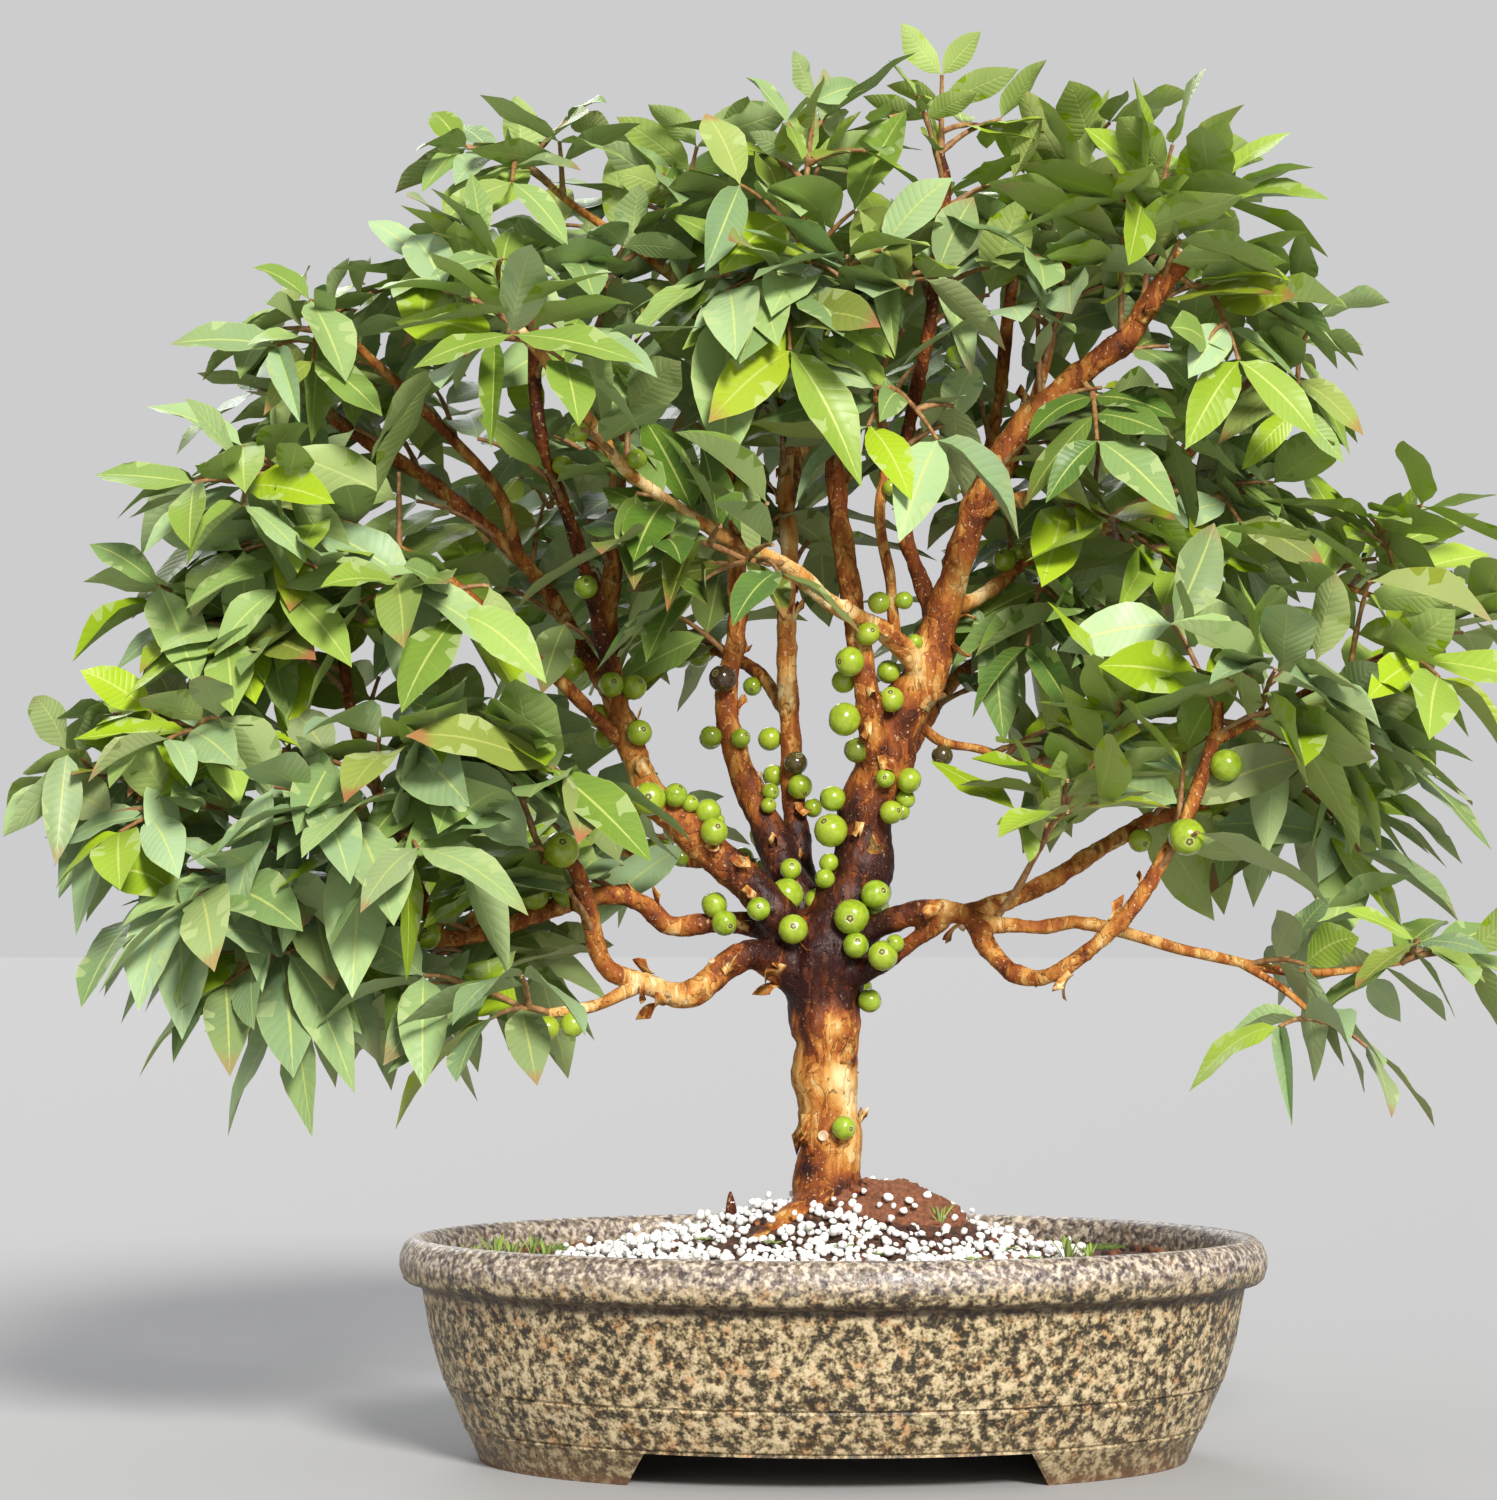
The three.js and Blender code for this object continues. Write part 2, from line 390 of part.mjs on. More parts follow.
const weedPlace = [-158, -22];
const weedBlades = 6;
function weedRoot(grow = 0) {
  const foot = soilTop(...weedPlace);
  return tube([[...weedPlace, foot - 6, 0.9], [...weedPlace, foot + 2.5, 2.2]], { sides: 6, grow });
}

function makeWeed() {
  const foot = soilTop(...weedPlace);
  const blades = Array.from({ length: weedBlades }, (_, i) => {
    const angle = (i / weedBlades) * 2 * Math.PI;
    const [x, y] = weedPlace;
    const outward = (reach, z, r) => [x + reach * Math.cos(angle), y + reach * Math.sin(angle), z, r];
    const reach = 7 + 8 * draw(i, 3);
    return tube([outward(0.9, foot + 1.6, 0.8), outward(0.5 * reach, foot + 9, 0.8),
      outward(reach, foot + 12 + 6 * draw(i, 4), 0.6)], { sides: 3 });
  });
  return join([weedRoot(), ...blades]);
}

// Fruit

// The places where the bark is nearest: stations close enough together to stand for the wood.
const barkStations = Object.values(limbs).flatMap((points) => stations(points, 4));

// A fruit seen at x and z is seated on the nearest bark, on its front.
function seatFruit([x, z, radius]) {
  const sideways = (bark) => Math.hypot(bark.centre.x - x, bark.centre.z - z) - bark.radius;
  const bark = barkStations.reduce((best, next) => (sideways(next) < sideways(best) ? next : best));
  const reach = bark.radius + fruitSeat * radius;
  const away = new THREE.Vector2(x - bark.centre.x, z - bark.centre.z);
  if (away.length() > reach * 0.96) away.setLength(reach * 0.96);
  const front = Math.sqrt(reach ** 2 - away.lengthSq());
  return { centre: bark.centre.clone().add(new THREE.Vector3(away.x, -front, away.y)), radius };
}

// Fruit round the back of the thick limbs, where the photograph doesn't show the bark.
function backFruit(index) {
  const route = stations(limbs[backFruitLimbs[index % backFruitLimbs.length]], 4);
  const [lowest, highest] = backFruitHeights;
  const reachable = route.filter((bark) => bark.centre.z > lowest && bark.centre.z < highest);
  const bark = reachable[Math.floor(draw(index, 11) * reachable.length)];
  const radius = 4.5 + 4.5 * draw(index, 12);
  const angle = (0.05 + 0.9 * draw(index, 13)) * Math.PI;
  const side = new THREE.Vector3(Math.cos(angle), Math.sin(angle), 0);
  return { centre: bark.centre.clone().addScaledVector(side, bark.radius + fruitSeat * radius), radius };
}

const backFruits = Array.from({ length: backFruitCount }, (_, i) => backFruit(i));
const fruits = [...frontFruit.map(seatFruit), ...backFruits]
  .filter((fruit) => fruit.radius >= smallestFruit);

// Groups of fruit that touch, biggest group first.
function touchingGroups(balls) {
  const groups = [];
  for (const ball of balls) {
    const touches = (other) => (
      other.centre.distanceTo(ball.centre) < touching * (other.radius + ball.radius));
    const near = groups.filter((group) => group.some(touches));
    const merged = [ball, ...near.flat()];
    near.forEach((group) => groups.splice(groups.indexOf(group), 1));
    groups.push(merged);
  }
  return groups.sort((a, b) => b.length - a.length);
}

function ballSolid({ centre, radius }, index) {
  const ball = new THREE.IcosahedronGeometry(radius * fruitSink, 0);
  ball.rotateX(draw(index, 21) * 3).rotateY(draw(index, 22) * 3);
  return solidOf(ball.translate(centre.x, centre.y, centre.z));
}

// Leaves

// Where the stem of a spray leaves the bark and forks into its shoots.
const forkShare = 0.22;
const forkReach = 6;
function forkOf(spray) {
  const root = vector(spray.root);
  const middle = spray.tips.map(vector).reduce((sum, tip) => sum.add(tip)).divideScalar(spray.tips.length);
  const reach = Math.max(forkShare * root.distanceTo(middle), forkReach + limbRadiusAt(root));
  return root.clone().add(middle.sub(root).setLength(reach));
}

function limbRadiusAt(point) {
  const bark = barkStations.reduce((best, next) => (
    next.centre.distanceToSquared(point) < best.centre.distanceToSquared(point) ? next : best));
  return bark.radius;
}

// A point of a shoot, which bows up a little between its root and its tip.
const shootBow = 0.32;
function shootPoint(root, tip, t) {
  const point = root.clone().lerp(tip, t);
  point.z += shootBow * t * (1 - t) * root.distanceTo(tip);
  return point;
}

// The first shoot goes on from the fork, and the others grow from it a little further up each.
const shootSpacing = 0.16;
function shootRoot(spray, shoot) {
  return shootPoint(forkOf(spray), vector(spray.tips[0]), shoot * shootSpacing);
}

// Sections of a leaf: the share along it, and the share of its half width and of its thickness there.
const leafSections = [{ u: 0.24, width: 0.76, thick: 1.2 }, { u: 0.62, width: 0.9, thick: 0.9 }];
const leafSlenderness = 0.37;
const leafRoot = -0.9;

function ribPoint(leaf, u) {
  return leaf.base.clone().addScaledVector(leaf.heading, leaf.length * u)
    .addScaledVector(upward, -leaf.droop * leaf.length * u * u);
}

// One leaf of a shoot: node k back from the tip, on one side of the stem; a turn bends it clear.
function makeLeaf(s, shoot, k, side, turn) {
  const spray = sprays[s];
  const [root, tip] = [shootRoot(spray, shoot), vector(spray.tips[shoot])];
  const t = 1 - (k * leafStep) / root.distanceTo(tip);
  const stem = shootPoint(root, tip, t + 0.05).sub(shootPoint(root, tip, t - 0.05)).normalize();
  const level = stem.clone().cross(upward).normalize();
  const roll = 0.8 * (draw(s, shoot, k, 1) - 0.5) + (k % 2) * 0.8 + turn;
  const pairSide = level.clone().multiplyScalar(Math.cos(roll))
    .addScaledVector(level.clone().cross(stem), Math.sin(roll));
  const spread = (k === 0 ? 0.68 : 0.95) + 0.28 * draw(s, shoot, k, 4 + side);
  const heading = stem.clone().multiplyScalar(Math.cos(spread))
    .addScaledVector(pairSide, side * Math.sin(spread));
  const across = heading.clone().cross(pairSide.clone().cross(stem)).normalize();
  const tilt = 0.6 * (draw(s, shoot, k, 16 + side) - 0.5);
  const blade = across.clone().multiplyScalar(Math.cos(tilt))
    .addScaledVector(across.clone().cross(heading), Math.sin(tilt));
  const length = spray.leaf * (0.78 + 0.42 * draw(s, shoot, k, 8 + side));
  const droop = spray.droop * (0.55 + 0.9 * draw(s, shoot, k, 12 + side));
  const halfWidth = (length * leafSlenderness) / 2;
  return { base: shootPoint(root, tip, t), heading, pairSide, blade, length, droop, halfWidth };
}

// The points that stand for a leaf when its clearance is judged.
function leafMarks(leaf) {
  const edge = (sign) => ribPoint(leaf, 0.5).addScaledVector(leaf.blade, sign * leaf.halfWidth * 0.8);
  return [...[0.3, 0.55, 0.8, 1].map((u) => ribPoint(leaf, u)), edge(-1), edge(1)];
}

// A leaf is a blade of three-cornered sections, flat above and keeled along its rib below.
function leafRings(leaf) {
  const rings = leafSections.map(({ u, width, thick }) => {
    const centre = ribPoint(leaf, u);
    const along = ribPoint(leaf, u + 0.05).sub(ribPoint(leaf, u - 0.05)).normalize();
    const out = (direction, amount) => centre.clone().addScaledVector(direction, amount);
    const below = along.cross(leaf.blade).normalize();
    return [out(leaf.blade, leaf.halfWidth * width), out(below, leafThickness * thick),
      out(leaf.blade, -leaf.halfWidth * width)];
  });
  return [...rings, [ribPoint(leaf, 1)]];
}

const sideLeaf = (leaf) => loft([[ribPoint(leaf, leafRoot / leaf.length)], ...leafRings(leaf)]);

// A shoot whose last ring opens into its end pair, each leaf grown from its own half of that ring.
function leafyShoot(route, pair) {
  const pairSide = (pair.right ?? pair.left)?.pairSide ?? new THREE.Vector3(0.3, 0.9, 0.2);
  const rings = limbRings(stations(route, 1), 4, pairSide);
  const [outer, below, inner, above] = rings.at(-1);
  const grow = (leaf, half) => (leaf ? skin([half, ...leafRings(leaf)]) : cap(half));
  return fromTriangles([...cap(rings[0].toReversed()), ...skin(rings),
    ...grow(pair.right, [outer, below, above]), ...grow(pair.left, [above, below, inner])]);
}

const leafTurns = [0, 0.4, -0.4, 0.8, -0.8];
const clearances = { bark: 3.2, fruit: 2.2, stem: 3.2, ownLeaf: 6, otherLeaf: 6.5 };

// The points that stand for the shoots of every spray.
const stemMarks = sprays.flatMap((spray) => spray.tips.flatMap((tip, shoot) => (
  [0.2, 0.4, 0.6, 0.8, 1].map((t) => shootPoint(shootRoot(spray, shoot), vector(tip), t)))));

// Nothing solid lies too near the marks of a leaf.
function isClear(leaf, s, placed) {
  const near = (mark, centre, reach) => mark.distanceToSquared(centre) < reach * reach;
  return leafMarks(leaf).every((mark) => (
    !barkStations.some((bark) => near(mark, bark.centre, bark.radius + clearances.bark))
    && !fruits.some((fruit) => near(mark, fruit.centre, fruit.radius + clearances.fruit))
    && !stemMarks.some((point) => near(mark, point, clearances.stem))
    && !placed.some((other) => other.marks.some((point) => (
      near(mark, point, other.spray === s ? clearances.ownLeaf : clearances.otherLeaf))))));
}

// The end pair of each shoot, turned until most of it is clear, and one leaf behind it on the first shoot.
function placeLeaves() {
  const placed = [];
  sprays.forEach((spray, s) => spray.tips.forEach((tip, shoot) => {
    const leafy = shoot === 0 && shootRoot(spray, 0).distanceTo(vector(tip)) > sideLeafShoot;
    for (const [k, sides] of leafy ? [[0, [1, -1]], [2, [s % 2 ? 1 : -1]]] : [[0, [1, -1]]]) {
      const tries = leafTurns.map((turn) => (
        sides.map((side) => ({ spray: s, shoot, k, side, leaf: makeLeaf(s, shoot, k, side, turn) }))
          .filter(({ leaf }) => isClear(leaf, s, placed))));
      const best = tries.reduce((most, next) => (next.length > most.length ? next : most));
      placed.push(...best.map((found) => ({ ...found, marks: leafMarks(found.leaf) })));
    }
  }));
  return placed;
}

// Two solids whose boxes meet are compared exactly.
function collide(a, b) {
  const [boxA, boxB] = [a.boundingBox(), b.boundingBox()];
  const apart = [0, 1, 2].some((i) => boxA.min[i] > boxB.max[i] || boxB.min[i] > boxA.max[i]);
  return !apart && a.intersect(b).volume() > 0;
}

// The shoots with their end pairs, then the side leaves; what still crosses another spray is left out.
function makeSprays(fullWood, fruitSolids) {
  const leaves = placeLeaves();
  const routes = sprays.map((spray) => spray.tips.map((tip, shoot) => {
    const route = [0, 0.5, 1].map((t) => [...shootPoint(shootRoot(spray, shoot), vector(tip), t).toArray(),
      twigRadius.root + (twigRadius.tip - twigRadius.root) * t]);
    return shoot === 0 ? [[...spray.root, twigRadius.root], ...route] : route;
  }));
  const bare = routes.map((shoots) => shoots.map((route) => leafyShoot(route, {})));
  const solids = [];
  sprays.forEach((spray, s) => {
    const others = [...solids, ...fruitSolids, ...bare.slice(s + 1).flat()];
    const isFree = (solid) => !others.some((other) => collide(solid, other));
    const own = leaves.filter((found) => found.spray === s);
    const parts = routes[s].map((route, shoot) => {
      const endLeaves = own.filter((found) => found.shoot === shoot && found.k === 0);
      const [right, left] = [1, -1].map((side) => endLeaves.find((found) => found.side === side)?.leaf);
      return [{ right, left }, { right }, { left }, {}].map((pair) => leafyShoot(route, pair)).find(isFree);
    });
    const stems = parts.map((part, shoot) => part ?? (shoot === 0 ? bare[s][0] : null)).filter(Boolean);
    const sideLeaves = own.filter(({ k }) => k > 0).map(({ leaf }) => sideLeaf(leaf)).filter(isFree);
    solids.push(join([...stems, ...sideLeaves]));
  });
  return solids.map((solid) => largest(solid.subtract(fullWood)));
}

// Assembly

const meshes = [];
function addMesh(name, solid, color, roughness = 0.8) {
  const { vertProperties, triVerts } = solid.getMesh();
  const geometry = new THREE.BufferGeometry();
  geometry.setAttribute('position', new THREE.BufferAttribute(new Float32Array(vertProperties), 3));
  geometry.setIndex(new THREE.BufferAttribute(new Uint32Array(triVerts), 1));
  const material = new THREE.MeshStandardMaterial({ color, roughness, metalness: 0 });
  const mesh = new THREE.Mesh(geometry, material);
  mesh.name = name;
  meshes.push(mesh);
}

function woodTubes(grow) {
  return Object.values(limbs).map((points) => {
    const thick = Math.max(...points.map((point) => point[3]));
    return tube(points, { sides: thick > 10 ? 8 : thick > 5.5 ? 5 : thick > 3.6 ? 4 : 3, grow });
  });
}

// The biggest bunches that hold together beside the bark get nodes; the other fruit is fused to the wood.
const bareWood = join(woodTubes(seatGap));
const bunchOf = (group) => largest(join(group.map(ballSolid)).subtract(bareWood));
const holds = (group) => bunchOf(group).volume() > wholeShare * join(group.map(ballSolid)).volume();
const groups = touchingGroups(fruits);
const bunches = groups.filter(holds).slice(0, mostBunches);
const loneFruit = groups.filter((group) => !bunches.includes(group)).flat();
const wood = join([...woodTubes(0), ...loneFruit.map(ballSolid)]);
const grownFruit = loneFruit.map((ball, i) => ballSolid({ ...ball, radius: ball.radius + seatGap }, i));
const fullWood = join([bareWood, ...grownFruit]);
const bunchSolids = bunches.map((group) => largest(join(group.map(ballSolid)).subtract(fullWood)));

addMesh('pot', makePot(), 0x9b8f73, 0.55);
const soil = makeSoil(join([fullWood, makeStub(seatGap), weedRoot(seatGap)]));
addMesh('soil', soil, 0x3b2519, 0.95);
const standing = join([...woodTubes(coverGap), makeStub(coverGap)]);
addMesh('prill_layer', makePrillCover(soil, standing), 0xe8e5dc, 0.8);
addMesh('trunk_and_branches', largest(wood), 0xa9692f, 0.7);
addMesh('soil_stub', makeStub(), 0x5a3221, 0.8);
addMesh('weed_tuft', makeWeed(), 0x7f9a45, 0.7);
const number = (i) => String(i + 1).padStart(2, '0');
bunchSolids.forEach((solid, i) => addMesh(`fruit_bunch_${number(i)}`, solid, 0x7fb23c, 0.35));
makeSprays(fullWood, bunchSolids).forEach((solid, i) => {
  addMesh(`spray_${number(i)}`, solid, tones[sprays[i].tone], 0.45);
});

const bonsai = new THREE.Group();
bonsai.add(...meshes);
bonsai.position.set(...plantShift);
export default bonsai;
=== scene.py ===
# Jaboticaba bonsai in an oval stoneware pot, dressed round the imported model.
# The lists hold millimetres from the middle of the pot's foot; every mesh is made in metres.
import math
import bpy
import numpy as np
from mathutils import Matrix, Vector
from mathutils.kdtree import KDTree


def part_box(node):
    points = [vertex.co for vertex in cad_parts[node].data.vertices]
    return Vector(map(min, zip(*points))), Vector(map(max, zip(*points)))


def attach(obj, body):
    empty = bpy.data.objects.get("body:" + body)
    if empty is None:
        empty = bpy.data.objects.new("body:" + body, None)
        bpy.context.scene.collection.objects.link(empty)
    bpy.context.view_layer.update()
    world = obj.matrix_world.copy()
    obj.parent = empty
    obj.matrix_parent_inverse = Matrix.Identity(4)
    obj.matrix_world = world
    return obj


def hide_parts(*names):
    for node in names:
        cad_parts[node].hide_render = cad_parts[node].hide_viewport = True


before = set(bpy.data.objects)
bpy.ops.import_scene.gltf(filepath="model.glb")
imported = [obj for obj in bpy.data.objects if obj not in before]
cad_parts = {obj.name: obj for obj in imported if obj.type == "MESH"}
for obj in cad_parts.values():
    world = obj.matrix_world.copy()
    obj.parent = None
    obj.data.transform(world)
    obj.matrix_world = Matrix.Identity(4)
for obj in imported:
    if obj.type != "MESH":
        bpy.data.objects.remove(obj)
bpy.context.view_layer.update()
bpy.ops.object.select_all(action="DESELECT")

mm = 0.001
up = np.array([0.0, 0.0, 1.0])
potLow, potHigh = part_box("pot")
potMiddle = np.array([(potLow.x + potHigh.x) / 2, (potLow.y + potHigh.y) / 2, 0.0])


def inScene(points):  # millimetres round the pot to metres in the frame
    return np.asarray(points, float)[..., :3] * mm + potMiddle


def draw(a, b=0, c=0, d=0):  # a repeatable number between 0 and 1, the same one that the solids use
    state = (a * 7919 + b * 104729 + c * 1299709 + d * 15485863 + 12345) % 2147483647
    for _ in range(4):
        state = state * 48271 % 2147483647
    return state / 2147483647


def shuffled(a, seed):  # as draw, for pairs of numbers that must not run side by side
    return np.random.default_rng((seed, a)).random()


def unit(vector):
    return vector / np.linalg.norm(vector)


def varied(bounds, share):  # the number at a share of the way between two bounds
    low, high = bounds
    return low + (high - low) * share


# Handling of objects and meshes

def cornersOf(mesh):
    flat = np.empty(len(mesh.vertices) * 3)
    mesh.vertices.foreach_get("co", flat)
    return flat.reshape(-1, 3)


def setCorners(mesh, points):
    mesh.vertices.foreach_set("co", np.ravel(points))
    mesh.update()


def choose(piece):  # the only selected object, and the active one
    bpy.ops.object.select_all(action="DESELECT")
    piece.select_set(True)
    bpy.context.view_layer.objects.active = piece
    return piece


def pick(piece, test):  # goes to edit mode with the faces selected whose middle passes a test
    mesh = piece.data
    for group in (mesh.vertices, mesh.edges, mesh.polygons):
        group.foreach_set("select", [False] * len(group))
    for face in mesh.polygons:
        face.select = bool(test(face.center))
    bpy.ops.object.mode_set(mode="EDIT")
    bpy.ops.mesh.select_mode(type="FACE")


def welded(piece, distance):  # joins doubled corners and turns the faces outward
    choose(piece)
    bpy.ops.object.mode_set(mode="EDIT")
    bpy.ops.mesh.select_all(action="SELECT")
    bpy.ops.mesh.remove_doubles(threshold=distance)
    bpy.ops.mesh.normals_make_consistent(inside=False)
    bpy.ops.object.mode_set(mode="OBJECT")
    return piece


def modify(piece, kind, **settings):  # adds a modifier, sets it and applies it
    choose(piece)
    bpy.ops.object.modifier_add(type=kind)
    modifier = piece.modifiers[-1]
    for name, value in settings.items():
        setattr(modifier, name, value)
    bpy.ops.object.modifier_apply(modifier=modifier.name)


def lumpy(piece, size, height, depth=2, **settings):  # pushes the skin in and out by a cloudy noise
    clouds = bpy.data.textures.new("lumps", "CLOUDS")
    clouds.noise_scale = size
    clouds.noise_depth = depth
    modify(piece, "DISPLACE", texture=clouds, strength=height, **settings)


def copyOf(master, points):
    made = master.copy()
    made.data = master.data.copy()
    bpy.context.collection.objects.link(made)
    setCorners(made.data, points)
    return made


def added(add, **settings):  # a new simple body, and its corners
    add(**settings)
    piece = bpy.context.object
    return piece, cornersOf(piece.data)


def joined(parts):
    bpy.ops.object.select_all(action="DESELECT")
    for part in parts:
        part.select_set(True)
    bpy.context.view_layer.objects.active = parts[0]
    if len(parts) > 1:
        bpy.ops.object.join()
    return bpy.context.view_layer.objects.active


def discard(piece):
    choose(piece)
    bpy.ops.object.delete()


def paint(mesh, **values):  # numbers for the corners of a mesh, which materials read by name
    for name, value in values.items():
        layer = mesh.attributes.get(name) or mesh.attributes.new(name, "FLOAT", "POINT")
        numbers = np.broadcast_to(np.asarray(value, np.float32), len(mesh.vertices))
        layer.data.foreach_set("value", np.ascontiguousarray(numbers))


def strewn(master, copies):  # copies of a master, from their corners and what is painted on them
    made = []
    for points, values in copies:
        made.append(copyOf(master, inScene(points)))
        paint(made[-1].data, **values)
    return joined(made)


def dress(piece, name, slot, materials, *nodes):  # name, materials, body and nodes of a piece; its slot is not used
    piece.name = piece.data.name = name
    if materials:
        piece.data.materials.clear()
        for material in materials:
            piece.data.materials.append(material)
    choose(piece)
    bpy.ops.object.shade_smooth()
    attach(piece, "root")
    if nodes:
        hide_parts(*nodes)
    return piece


# Material nodes

def newMaterial(name, **values):
    material = bpy.data.materials.new(name)
    material.use_nodes = True
    shader = material.node_tree.nodes["Principled BSDF"]
    for socket, value in values.items():
        shader.inputs[socket.replace("_", " ")].default_value = value
    return material, material.node_tree, shader


def node(tree, kind, inputs=(), **settings):
    made = tree.nodes.new("ShaderNode" + kind)
    for name, value in settings.items():
        setattr(made, name, value)
    for name, value in dict(inputs).items():
        if isinstance(value, bpy.types.NodeSocket):
            tree.links.new(value, made.inputs[name])
        else:
            made.inputs[name].default_value = value
    return made


def placeOf(tree, stretch=(1, 1, 1)):
    coords = node(tree, "TexCoord").outputs["Object"]
    return node(tree, "Mapping", {"Vector": coords, "Scale": stretch}).outputs["Vector"]


def noise(tree, place, scale, detail=4, distortion=0.0, roughness=0.55):
    inputs = {"Vector": place, "Scale": scale, "Detail": detail, "Distortion": distortion,
              "Roughness": roughness}
    return node(tree, "TexNoise", inputs).outputs["Fac"]


def sums(tree, operation, first, second=0.0, third=0.0, clamp=False):
    made = tree.nodes.new("ShaderNodeMath")
    made.operation = operation
    made.use_clamp = clamp
    for socket, value in zip(made.inputs, (first, second, third)):
        if isinstance(value, bpy.types.NodeSocket):
            tree.links.new(value, socket)
        else:
            socket.default_value = value
    return made.outputs[0]


def between(tree, value, low, high):  # 0 below low, 1 above high, smooth between
    inputs = {"Value": value, "From Min": low, "From Max": high}
    return node(tree, "MapRange", inputs, interpolation_type="SMOOTHSTEP").outputs["Result"]


def ramp(tree, value, *stops):
    made = node(tree, "ValToRGB", {"Fac": value})
    elements = made.color_ramp.elements
    while len(elements) < len(stops):
        elements.new(1.0)
    for element, (position, colour) in zip(elements, stops):
        element.position = position
        element.color = (*colour, 1)
    return made.outputs["Color"]


def mixed(tree, share, first, second, blend="MIX"):
    made = tree.nodes.new("ShaderNodeMix")
    made.data_type = "RGBA"
    made.blend_type = blend
    for index, value in ((0, share), (6, first), (7, second)):
        if isinstance(value, bpy.types.NodeSocket):
            tree.links.new(value, made.inputs[index])
        else:
            made.inputs[index].default_value = value if index == 0 else (*value, 1)
    return made.outputs[2]


def attribute(tree, name):
    return node(tree, "Attribute", attribute_name=name).outputs["Fac"]


def inverse(tree, value):
    return sums(tree, "SUBTRACT", 1, value)


def band(tree, value, rise, fall):  # 1 from the step where it rises to the step where it falls
    return sums(tree, "MULTIPLY", between(tree, value, *rise), inverse(tree, between(tree, value, *fall)))


def tinted(tree, mask, strength, colour, tint):  # a tint laid over a colour where a mask is 1
    return mixed(tree, sums(tree, "MULTIPLY", mask, strength), colour, tint)


def wired(tree, shader, **sources):
    for name, source in sources.items():
        tree.links.new(source, shader.inputs[name.replace("_", " ")])


def bumped(tree, shader, height, distance, strength=1.0):
    made = node(tree, "Bump", {"Height": height, "Distance": distance, "Strength": strength})
    wired(tree, shader, Normal=made.outputs["Normal"])


def grained(name, roughness, grain, relief, colours, tone=None):  # a skin that follows one fine noise
    material, tree, shader = newMaterial(name, Roughness=roughness)
    level = fine = noise(tree, placeOf(tree), *grain)
    if tone:  # the shares of the noise and of the painted tone, and what is added to them
        level = sums(tree, "MULTIPLY_ADD", attribute(tree, "tone"), tone[1], tone[2])
        level = sums(tree, "MULTIPLY_ADD", fine, tone[0], level, clamp=True)
    wired(tree, shader, Base_Color=ramp(tree, level, *colours))
    bumped(tree, shader, fine, *relief)
    return material


# Stage

cameraLook = {
    "distance": 2.0,  # metres from the middle of the pot
    "sideways": -0.042,
    "height": 0.2655,
    "lens": 96.0,
    "sensor": 36.0,
    "imageHeight": 1500,
    "horizonRow": 922,  # the row of the picture at the height of the eye
    "clipEnd": 30,
}
studio = {
    "floorColour": (0.385, 0.385, 0.39),
    "floorSize": 60,
    "floorRoughness": 0.85,
    "sky": (0.985, 0.985, 1.0),
    "skyStrength": 0.62,
    "viewTransform": "Standard",
}
lamps = {  # where it shines from, strength, softness in radians and colour
    "keyLamp": ((0.60, -1.9, 1.2), 4.7, 0.24, (1.0, 0.975, 0.93)),
    "backLamp": ((-0.5, 1.9, 1.3), 0.9, 0.5, (0.95, 0.97, 1.0)),
}


def makeCamera():
    look = cameraLook
    focal = look["lens"] / look["sensor"] * look["imageHeight"]
    tilt = math.atan((look["horizonRow"] - look["imageHeight"] / 2) / focal)
    place = (potMiddle[0] + look["sideways"], potMiddle[1] - look["distance"], look["height"])
    bpy.ops.object.camera_add(location=place, rotation=(math.pi / 2 + tilt, 0, 0))
    camera = bpy.context.object
    camera.name = "photoCamera"
    camera.data.lens = look["lens"]
    camera.data.sensor_width = look["sensor"]
    camera.data.clip_end = look["clipEnd"]
    bpy.context.scene.camera = camera


def makeStudio():
    bpy.ops.mesh.primitive_plane_add(size=studio["floorSize"])
    floor = bpy.context.object
    floor.name = "studioFloor"
    material, _, shader = newMaterial("paleFloor", Roughness=studio["floorRoughness"])
    shader.inputs["Base Color"].default_value = (*studio["floorColour"], 1)
    floor.data.materials.append(material)
    for name, (place, strength, softness, colour) in lamps.items():
        bpy.ops.object.light_add(type="SUN", location=place)
        lamp = bpy.context.object
        lamp.name = name
        lamp.data.energy = strength
        lamp.data.angle = softness
        lamp.data.color = colour
        lamp.rotation_euler = Vector(place).to_track_quat("Z", "Y").to_euler()
    world = bpy.data.worlds.new("softSky")
    world.use_nodes = True
    sky = world.node_tree.nodes["Background"]
    sky.inputs["Color"].default_value = (*studio["sky"], 1)
    sky.inputs["Strength"].default_value = studio["skyStrength"]
    bpy.context.scene.world = world
    bpy.context.scene.view_settings.view_transform = studio["viewTransform"]


makeCamera()
makeStudio()
print("camera, floor and lights are up")


# Lists of the growth

